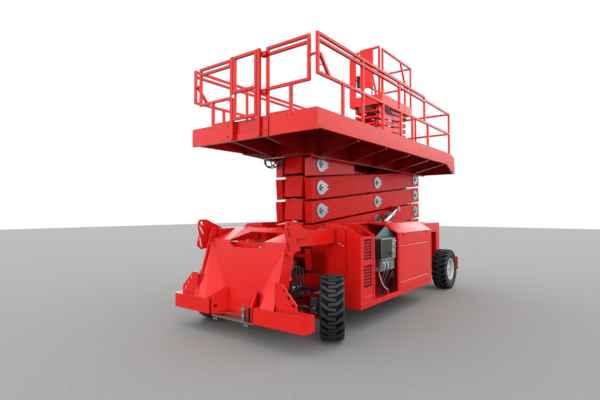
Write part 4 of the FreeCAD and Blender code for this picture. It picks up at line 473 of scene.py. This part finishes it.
def hose(name, points, radius, material=HOSE, body="chassis"):
    """A short fixed hose or cable, clamped at both ends."""
    curve = bpy.data.curves.new(name, "CURVE")
    curve.dimensions = "3D"
    curve.bevel_depth = radius
    curve.bevel_resolution = 3
    curve.use_fill_caps = True
    line = curve.splines.new("NURBS")
    line.points.add(len(points) - 1)
    for point, where in zip(line.points, points):
        point.co = (*where, 1.0)
    line.order_u = 3
    line.use_endpoint_u = True
    line.resolution_u = 8
    piece = bpy.data.objects.new(name, curve)
    bpy.context.scene.collection.objects.link(piece)
    curve.materials.append(material)
    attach(piece, body)


# Wheels: tyres with deep stepped lugs, wheel nuts, hub bolts and valves

def front_wheel(side, turn):
    """Centre X and Y and the turn of a steered wheel."""
    angle = math.radians(turn)
    x = FRONT_AXLE_X - side * KING_PIN_REACH * math.sin(angle)
    return x, side * (KING_PIN_Y + KING_PIN_REACH * math.cos(angle)), turn


WHEELS = {
    "front_left": front_wheel(1, LEFT_TURN),
    "front_right": front_wheel(-1, RIGHT_TURN),
    "rear_left": (REAR_AXLE_X, REAR_WHEEL_Y, 0.0),
    "rear_right": (REAR_AXLE_X, -REAR_WHEEL_Y, 0.0),
}


def finish_wheel(kind, name, work, material):
    """Carries a mesh made about the origin, outboard at +Y, to its wheel."""
    x, y, turn = WHEELS[name]
    outward = math.pi if y < 0 else 0.0
    spin = Matrix.Rotation(math.radians(turn) + outward, 4, "Z")
    bmesh.ops.transform(work, matrix=Matrix.Translation((x, y, TYRE_R)) @ spin, verts=work.verts)
    end, side = name.split("_")
    return finish_mesh(f"{kind}_{name}", work, material, f"{end}_wheel_{side}")


def lug(work, start, side):
    """One lug: from the notched shoulder it slants to the middle, then runs straight over it."""
    pitch = 2 * math.pi / LUGS
    line = [                # Y, turn and width in shares of the pitch, and the drop from the crown
        (TYRE_HALF - 0.002, 0.68, 0.46, 0.040),
        (TYRE_HALF - 0.014, 0.64, 0.46, 0.014),
        (0.118, 0.54, 0.42, 0.002),
        (0.047, 0.07, 0.34, 0.0),
        (-0.047, 0.0, 0.31, 0.0),
    ]
    rows = []
    for y, turn, width, drop in line:
        angles = (start + (turn - width / 2) * pitch, start + (turn + width / 2) * pitch)
        for radius in (TYRE_R - TREAD_DEPTH - LUG_ROOT - drop, TYRE_R - drop):
            rows.append([work.verts.new((radius * math.cos(a), side * y, radius * math.sin(a)))
                         for a in angles])
    for k in range(len(line) - 1):
        low0, top0, low1, top1 = rows[2 * k:2 * k + 4]
        work.faces.new((top0[0], top0[1], top1[1], top1[0]))
        work.faces.new((low0[0], low1[0], low1[1], low0[1]))
        work.faces.new((low0[0], top0[0], top1[0], low1[0]))
        work.faces.new((low0[1], low1[1], top1[1], top0[1]))
    work.faces.new((rows[0][0], rows[0][1], rows[1][1], rows[1][0]))
    work.faces.new((rows[-2][0], rows[-1][0], rows[-1][1], rows[-2][1]))


def tyre(name):
    """The carcass, painted dark between its lugs as shade in the grooves, and two rows of lugs that
    interlock.
    """
    work = bmesh.new()
    crown = TYRE_R - TREAD_DEPTH
    outline = [             # radius and Y, from the inboard bead to the middle of the crown
        (BEAD_R, -BEAD_HALF), (BEAD_R + 0.012, -BEAD_HALF), (BEAD_R + 0.030, -0.134),
        (BEAD_R + 0.060, -0.147), (0.310, -TYRE_HALF), (0.345, -0.152), (0.372, -0.146),
        (crown - 0.010, -0.132), (crown, -CROWN_HALF), (crown, 0.0),
    ]
    outline += [(r, -y) for r, y in reversed(outline[:-1])]
    ring(work, outline, 72)
    for face in work.faces:
        if all(math.hypot(v.co.x, v.co.z) > crown - GROOVE_BAND for v in face.verts):
            face.material_index = 1
    for i in range(LUGS):
        start = 2 * math.pi * i / LUGS
        lug(work, start, 1)
        lug(work, start + math.pi / LUGS, -1)
    piece = finish_wheel("tread", name, work, RUBBER)
    piece.data.materials.append(GROOVE_SHADE)
    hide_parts(f"tyre_{name}")


def wheel_fixings(name):
    """Ten wheel nuts, eight hub bolts, the hub's cap and the valve."""
    work = bmesh.new()
    for number, start, circle, face, size in (
        (10, 0.0, 0.128, DISC_FACE, 0.017),
        (8, 0.5, 0.060, HUB_FACE, 0.008),
    ):
        for a in around(number, start):
            bolt(work, (circle * math.cos(a), face, circle * math.sin(a)), LEFT, size)
    cap = [(0.036, -SINK), (0.036, 0.008), (0.028, 0.014)]
    valve = [(0.006, -SINK), (0.006, 0.030), (0.004, 0.034)]
    turned(work, (0.0, HUB_FACE, 0.0), LEFT, cap, 28)
    turned(work, (0.180, DISC_FACE, 0.0), LEFT, valve, 12)
    finish_wheel("wheel_nuts", name, work, ZINC)


for wheel in WHEELS:
    tyre(wheel)


# Pin keepers: the bolt at each tip, the bolt on each pin's head, and round each head a dark ring,
# painted shade in its groove

def keeper_fixings(name, body, spots, slope):
    """spots are (x, y, z) of the left pins' ends on the plates; both sides get the fixings."""
    tail = Vector((-math.cos(slope), 0.0, math.sin(slope)))
    collar = [(0.050, -SINK), (0.050, 0.003), (0.046, 0.005), (0.0402, 0.005)]
    bolts, rings = bmesh.new(), bmesh.new()
    for x, y, z in spots:
        for side in SIDES:
            out = Vector((0.0, side, 0.0))
            at = Vector((x, side * y, z))
            bolt(bolts, at + tail * KEEPER_TAIL, out, 0.015)
            bolt(bolts, at + out * PIN_HEAD, out, 0.014)
            # a dark ring on the plate: painted shade of the groove round the pin's head
            turned(rings, at, out, collar, 32)
    finish_mesh(f"keeper_bolts_{name}", bolts, DARK, body)
    finish_mesh(f"keeper_groove_shade_{name}", rings, DARK, body)


def along_arm(level, back):
    """X and Z of the point this far behind the front pin of a level's outer arms."""
    z = PIN_Z + (level - 1) * LEVEL_RISE
    return PIN_X - back * math.cos(STACK_SLOPE), z + back * math.sin(STACK_SLOPE)


for level in range(1, LEVELS + 1):
    keeper_spots = []
    for back in (0.0, ARM_LEN / 2, ARM_LEN):
        x, z = along_arm(level, back)
        lowest = level == 1 and back == 0.0
        keeper_spots.append((x, LOW_KEEPER_Y if lowest else KEEPER_Y, z))
    keeper_fixings(str(level), f"outer_{level}", keeper_spots, STACK_SLOPE)
keeper_fixings("top", "platform", [(PIN_X, KEEPER_Y, PIN_Z + LEVELS * LEVEL_RISE)], 0.0)

for wheel in WHEELS:
    wheel_fixings(wheel)


# Open bay on the left: the electrical box's cover, switches, glands and cables

def control_fittings():
    """The box's door and lid with their bright edging, and the switches on its outer side."""
    (x0, x1), (y0, y1), (z0, z1) = BOX_X, BOX_Y, BOX_Z
    front, side = x1 - SINK, y1 - SINK
    cover, edging = bmesh.new(), bmesh.new()
    slab(cover, (front, y0 + 0.006, z0 + 0.006), (x1 + 0.006, y1 - 0.008, z1 - 0.008))
    slab(cover, (0.500, side, z0 + 0.014), (0.842, y1 + 0.005, z1 - 0.016))
    slab(cover, (0.560, y1 + 0.004, z0 + 0.060), (0.600, y1 + 0.020, z0 + 0.110), 0.004)
    for low, high in (
        ((front, y1 - 0.010, z0), (x1 + 0.012, y1 + 0.003, z1)),
        ((front, y0, z1 - 0.012), (x1 + 0.012, y1 + 0.003, z1 + 0.003)),
        ((x0, side, z1 - 0.014), (x1, y1 + 0.006, z1 + 0.003)),
        ((x0, side, z0 - 0.003), (x1, y1 + 0.006, z0 + 0.012)),
        ((x0, side, z0 + 0.014), (0.496, y1 + 0.004, z1 - 0.016)),
        ((0.560, 1.139, 0.745), (0.815, 1.146, 0.880)),
    ):
        slab(edging, low, high)
    finish_mesh("control_cover", cover, BLACK, "chassis")
    finish_mesh("control_frame", edging, ZINC, "chassis")
    switch = [(0.019, -SINK), (0.019, 0.005), (0.014, 0.007), (0.014, 0.015), (0.011, 0.017)]
    for name, material, places in (
        ("orange", ORANGE_PLASTIC, [(0.455, 1.175), (0.405, 1.080), (0.455, 0.985)]),
        ("pale", PALE_PLASTIC, [(0.405, 1.175), (0.455, 1.128), (0.455, 1.035)]),
        ("blue", BLUE_PLASTIC, [(0.405, 1.035), (0.405, 0.985)]),
    ):
        work = bmesh.new()
        for x, z in places:
            turned(work, (x, y1 + 0.003, z), LEFT, switch, 24)
        finish_mesh(f"switches_{name}", work, material, "chassis")


def cable_glands():
    """Glands under the electrical box and on the valve box below it."""
    work = bmesh.new()
    number, first, pitch = BOX_GLANDS
    for i in range(number):
        turned(work, (first + i * pitch, 1.095, BOX_Z[0]), -UP,
               [(0.014, -SINK), (0.014, 0.010), (0.010, 0.012)], 6)
    slab(work, (0.829, 1.050, 0.800), (0.842, 1.130, 0.880))
    number, first, pitch = LOW_GLANDS
    for i in range(number):
        turned(work, (first + i * pitch, 1.145, 0.850), LEFT,
               [(0.013, -SINK), (0.013, 0.010), (0.009, 0.012), (0.009, 0.020)], 6)
    finish_mesh("cable_glands", work, ZINC, "chassis")


def bay_cables():
    """Cables from the low glands and the box to the bay's floor, and loops that stand on it."""
    number, first, pitch = LOW_GLANDS
    for i in range(number):
        x = first + i * pitch
        hose(f"bay_cable_{i + 1}", [
            (x, 1.158, 0.850), (x, 1.172, 0.850), (x + 0.005, 1.180, 0.810),
            (x + 0.015, 1.176, 0.740), (x + 0.010, 1.140, 0.640), (x - 0.02, 1.070, 0.500),
            (x - 0.05, 1.000, BAY_FLOOR - 0.001),
        ], 0.006, ZINC if i % 2 else HOSE)
    hose("pale_cable", [
        (0.800, 1.090, 0.735), (0.805, 1.095, 0.690), (0.770, 1.120, 0.560),
        (0.690, 1.130, 0.470), (0.600, 1.120, 0.440), (0.480, 1.090, 0.400),
        (0.420, 1.060, BAY_FLOOR),
    ], 0.008, PALE_PLASTIC)
    for i, drop in enumerate((0.0, 0.030, 0.055)):
        hose(f"bay_loop_{i + 1}", [
            (0.330, 1.060 + i * 0.02, BAY_FLOOR), (0.330, 1.110, 0.450 - drop),
            (0.350, 1.140, 0.620 - drop), (0.400 + i * 0.03, 1.135, 0.700 - drop),
            (0.470 + i * 0.02, 1.120, 0.640 - drop), (0.500, 1.060, 0.480),
            (0.510 + i * 0.02, 1.000, BAY_FLOOR),
        ], 0.011)


control_fittings()
cable_glands()
bay_cables()


# Behind the air grilles: a dark sheet, painted shade of the hollow behind them

def grille_shade_sheets():
    """Two windows on each side, dark as painted shade."""
    work = bmesh.new()
    for side in SIDES:
        y0, y1 = sorted(side * y for y in GRILLE_SHADE_Y)
        for low, high in GRILLE_SHADE_Z:
            slab(work, (GRILLE_SHADE_X[0], y0, low), (GRILLE_SHADE_X[1], y1, high), 0.001)
    finish_mesh("grille_shade_sheets", work, BLACK, "chassis")


grille_shade_sheets()


# Hydraulics ahead of the left cabinet

def hydraulics():
    """The valve block with its filter, the manifold on the rail, and the hoses between them."""
    block, foot, steel = bmesh.new(), bmesh.new(), bmesh.new()
    slab(block, (2.215, 0.450, 0.800), (2.395, 0.600, 0.985), 0.006)
    slab(block, (2.250, 0.470, 0.985), (2.290, 0.510, 1.040), 0.004)
    turned(block, (2.350, 0.540, 0.980), UP, [(0.028, 0.0), (0.028, 0.045), (0.022, 0.05)], 20)
    finish_mesh("valve_block", block, BLACK, "chassis")
    turned(foot, (2.305, 0.535, 0.739), UP, [(0.034, 0.0), (0.034, 0.062)], 24)
    finish_mesh("valve_foot", foot, PALE_PLASTIC, "chassis")
    slab(steel, (2.150, RAIL_FACE, 0.600), (2.340, 0.625, 0.700), 0.004)
    for x in PORTS_X:
        turned(steel, (x, 0.624, MANIFOLD_PORT_Z), LEFT,
               [(0.020, 0.0), (0.020, 0.018), (0.014, 0.020), (0.014, 0.030)], 6)
        turned(steel, (x, 0.599, BLOCK_PORT_Z), LEFT, [(0.018, 0.0), (0.018, 0.022)], 6)
    finish_mesh("manifold", steel, ZINC, "chassis")
    for i, x in enumerate(PORTS_X):
        hose(f"valve_hose_{i + 1}", [
            (x, 0.650, MANIFOLD_PORT_Z), (x, 0.668, MANIFOLD_PORT_Z), (x + 0.010, 0.675, 0.700),
            (x + 0.015, 0.675, 0.780), (x + 0.010, 0.675, 0.870), (x, 0.668, BLOCK_PORT_Z),
            (x, 0.618, BLOCK_PORT_Z),
        ], 0.011)
    hose("rail_hose", [
        (2.155, 0.600, 0.640), (2.110, 0.605, 0.640), (2.020, 0.608, 0.600),
        (1.900, 0.604, 0.570), (1.780, 0.600, 0.565), (1.690, 0.596, 0.570),
        (1.640, 0.575, 0.590),
    ], 0.013)


def axle_hoses():
    """Hoses from the manifold down behind the left wheel, and the bright blocks they end in."""
    steel = bmesh.new()
    slab(steel, (2.060, RAIL_FACE, 0.515), (2.150, 0.618, 0.580), 0.004)
    slab(steel, (1.930, RAIL_FACE, 0.515), (1.990, 0.612, 0.570), 0.004)
    for x, z in ((2.105, 0.548), (1.960, 0.543)):
        turned(steel, (x, 0.610, z), LEFT,
               [(0.020, 0.0), (0.020, 0.022), (0.013, 0.024), (0.013, 0.034)], 6)
    finish_mesh("axle_fittings", steel, ZINC, "chassis")
    hose("axle_hose_1", [
        (2.360, 0.575, 0.640), (2.375, 0.600, 0.630), (2.380, 0.625, 0.570),
        (2.300, 0.630, 0.520), (2.180, 0.640, 0.530), (2.105, 0.655, 0.548),
        (2.105, 0.640, 0.548),
    ], 0.012)
    hose("axle_hose_2", [
        (2.380, 0.575, 0.700), (2.400, 0.605, 0.690), (2.400, 0.635, 0.600),
        (2.280, 0.645, 0.555), (2.080, 0.652, 0.590), (1.970, 0.652, 0.560),
        (1.960, 0.640, 0.543),
    ], 0.012)


hydraulics()
axle_hoses()


# Under the platform's front, over the stack

def stack_hoses():
    """Four hose loops that hang from a clamp."""
    clamp = bmesh.new()
    slab(clamp, (1.605, -0.560, 2.482), (1.655, -0.080, 2.492))
    finish_mesh("hose_clamp", clamp, ZINC, "platform")
    spans = ((-0.530, -0.300, 2.385), (-0.500, -0.210, 2.360), (-0.380, -0.110, 2.375),
             (-0.290, -0.140, 2.400))
    for i, (y0, y1, low) in enumerate(spans):
        x = 1.618 + 0.009 * i
        hose(f"stack_hose_{i + 1}", [
            (x, y0, 2.486), (x, y0, 2.440), (x, y0 + 0.02, low), (x, (y0 + y1) / 2, low - 0.03),
            (x, y1 - 0.02, low), (x, y1, 2.440), (x, y1, 2.486),
        ], 0.010, body="platform")


stack_hoses()


# Lift cylinders

def cylinder_glands():
    """The collars along each barrel, the gland at its open end and its ports."""
    work = bmesh.new()
    along = Vector((CYL_EYE[0] - CYL_BASE[0], 0.0, CYL_EYE[1] - CYL_BASE[1])).normalized()
    up = -along.cross(LEFT)
    for side in SIDES:
        base = Vector((CYL_BASE[0], side * CYL_Y, CYL_BASE[1]))
        for start, end, radius in (
            (0.120, 0.160, 0.075), (1.800, 1.822, 0.0745), (1.840, 1.896, 0.076),
        ):
            turned(work, base, along, [
                (0.068, start), (radius, start + 0.004), (radius, end - 0.004), (0.068, end),
            ], 36)
        for reach in (0.22, 1.76):
            turned(work, base + along * reach, up,
                   [(0.022, 0.060), (0.022, 0.092), (0.014, 0.096), (0.014, 0.104)], 16)
    finish_mesh("cylinder_glands", work, ZINC, "lift_barrels")


cylinder_glands()


# Rails and deck

def rail_fittings():
    """The clamp and chain at the left front corner, bolts on posts and skirt, the gate's catch."""
    bolts, clamp, catch = bmesh.new(), bmesh.new(), bmesh.new()
    slab(clamp, (2.488, 0.992, 3.540), (2.524, 1.026, 3.584), 0.003)
    for z in (2.700, 2.850):
        for y in (0.290, 0.360, -0.290, -0.360):
            bolt(bolts, (POST_FACE, y, z), FORWARD, 0.012)
    for y in (0.700, 0.780, -0.700, -0.780):
        bolt(bolts, (SKIRT_FACE, y, 2.860), FORWARD, 0.010)
    finish_mesh("rail_clamp", clamp, BLACK, "platform")
    finish_mesh("rail_bolts", bolts, RED, "platform")
    hose("corner_chain", [
        (2.500, 1.150, 3.500), (2.495, 1.140, 3.470), (2.440, 1.128, 3.440),
        (2.380, 1.132, 3.450), (2.340, 1.150, 3.480),
    ], 0.005, BLACK, "platform")
    slab(catch, (2.611, -0.238, 3.222), (2.6125, -0.190, 3.262), 0.0005)
    finish_mesh("gate_catch", catch, ZINC, "gate")


rail_fittings()


# Basket

def basket_controls():
    """The hand lever's box and the switch box inside the front panel, and their cable."""
    shell, knobs = bmesh.new(), bmesh.new()
    slab(shell, (-0.960, -0.110, 4.560), (-0.851, 0.040, 4.800), 0.012)
    slab(shell, (-0.960, -0.235, 4.210), (-0.8815, -0.165, 4.430), 0.008)
    turned(knobs, (-0.905, -0.010, 4.798), UP, [
        (0.034, 0.0), (0.024, 0.020), (0.010, 0.036), (0.010, 0.090), (0.020, 0.100),
        (0.020, 0.125), (0.012, 0.132),
    ], 20)
    turned(knobs, (-0.905, -0.075, 4.798), UP, [(0.022, 0.0), (0.022, 0.018), (0.016, 0.024)], 20)
    finish_mesh("basket_console", shell, BLACK, "basket")
    finish_mesh("basket_lever", knobs, DARK, "basket")
    hose("basket_cable", [
        (-0.900, 0.010, 4.561), (-0.900, 0.030, 4.480), (-0.905, 0.100, 4.300),
        (-0.900, 0.110, 4.100), (-0.890, 0.110, 3.990), (-0.880, 0.110, 3.826),
    ], 0.010, body="basket")


basket_controls()


# Nose

def nose_fittings():
    """A bright plate in the mouth, the latch of the tow bar, and bolts behind the tall lugs."""
    steel, strip = bmesh.new(), bmesh.new()
    slab(steel, (2.480, 0.215, 1.160), (2.545, 0.315, 1.178), 0.004)
    for side in SIDES:
        for y, z in ((0.870, 1.184), (0.919, 1.158)):
            bolt(steel, (1.590, side * y, z), FORWARD, 0.014)
    slab(steel, (2.792, 0.160, 0.300), (2.806, 0.210, 0.330))
    slab(steel, (2.770, 0.150, 0.392), (2.806, 0.224, 0.404), 0.003)
    finish_mesh("nose_fittings", steel, ZINC, "chassis")
    slab(strip, (2.770, 0.262, 0.250), (2.800, 0.290, 0.425), 0.004)
    finish_mesh("latch_strip", strip, BLACK, "chassis")


nose_fittings()


# Floor, light and camera

def stage():
    """A floor of pale asphalt."""
    bpy.ops.mesh.primitive_plane_add(size=FLOOR_SIZE, location=(0.0, 0.0, 0.0))
    floor = bpy.context.object
    floor.name = "floor"
    material, tree, shader = surface("pale_floor", 0.85, specular=0.2)
    grain = drifting(tree, place(tree), 30.0, detail=5.0)
    tree.links.new(mix(tree, grain, *ASPHALT), shader.inputs["Base Color"])
    floor.data.materials.append(material)


def background(tree, node, colour, strength=None):
    """The shader output of a Background node of one colour."""
    node.inputs["Color"].default_value = (*colour, 1.0)
    if strength is not None:
        tree.links.new(strength, node.inputs["Strength"])
    return node.outputs["Background"]


def choose(tree, share, first, second):
    """The first shader where the share is 0, the second where it is 1."""
    node = tree.nodes.new("ShaderNodeMixShader")
    for socket, output in zip(node.inputs, (share, first, second)):
        tree.links.new(output, socket)
    return node.outputs["Shader"]


def world():
    """A soft sky, brighter above: white to the camera and never below white in reflections."""
    sky = bpy.data.worlds.new("sky")
    bpy.context.scene.world = sky
    sky.use_nodes = True
    tree = sky.node_tree
    x, _, z = split(tree, tree.nodes.new("ShaderNodeTexCoord").outputs["Generated"])
    height = math_node(tree, "MULTIPLY_ADD", x, SKY_FORWARD, z)
    light = background(tree, tree.nodes["Background"], (0.96, 0.98, 1.0),
                       spread(tree, height, *SKY_LIGHT_RISE, *SKY_LIGHT))
    mirror = background(tree, tree.nodes.new("ShaderNodeBackground"), (0.98, 0.99, 1.0),
                        spread(tree, height, *SKY_MIRROR_RISE, *SKY_MIRROR))
    white = background(tree, tree.nodes.new("ShaderNodeBackground"), (1.0, 1.0, 1.0))
    path = tree.nodes.new("ShaderNodeLightPath").outputs
    shiny = math_node(tree, "MAXIMUM", path["Is Glossy Ray"], path["Is Transmission Ray"])
    lit = choose(tree, shiny, light, mirror)
    seen = choose(tree, path["Is Camera Ray"], lit, white)
    tree.links.new(seen, tree.nodes["World Output"].inputs["Surface"])


def camera():
    """The photograph's view."""
    lens = bpy.data.cameras.new("camera")
    lens.sensor_width = SENSOR
    lens.lens = CAMERA_LENS
    holder = bpy.data.objects.new("camera", lens)
    holder.location = CAMERA_AT
    holder.rotation_euler = CAMERA_TURN
    bpy.context.scene.collection.objects.link(holder)
    bpy.context.scene.camera = holder


stage()
world()
camera()
bpy.context.scene.view_settings.view_transform = "Standard"
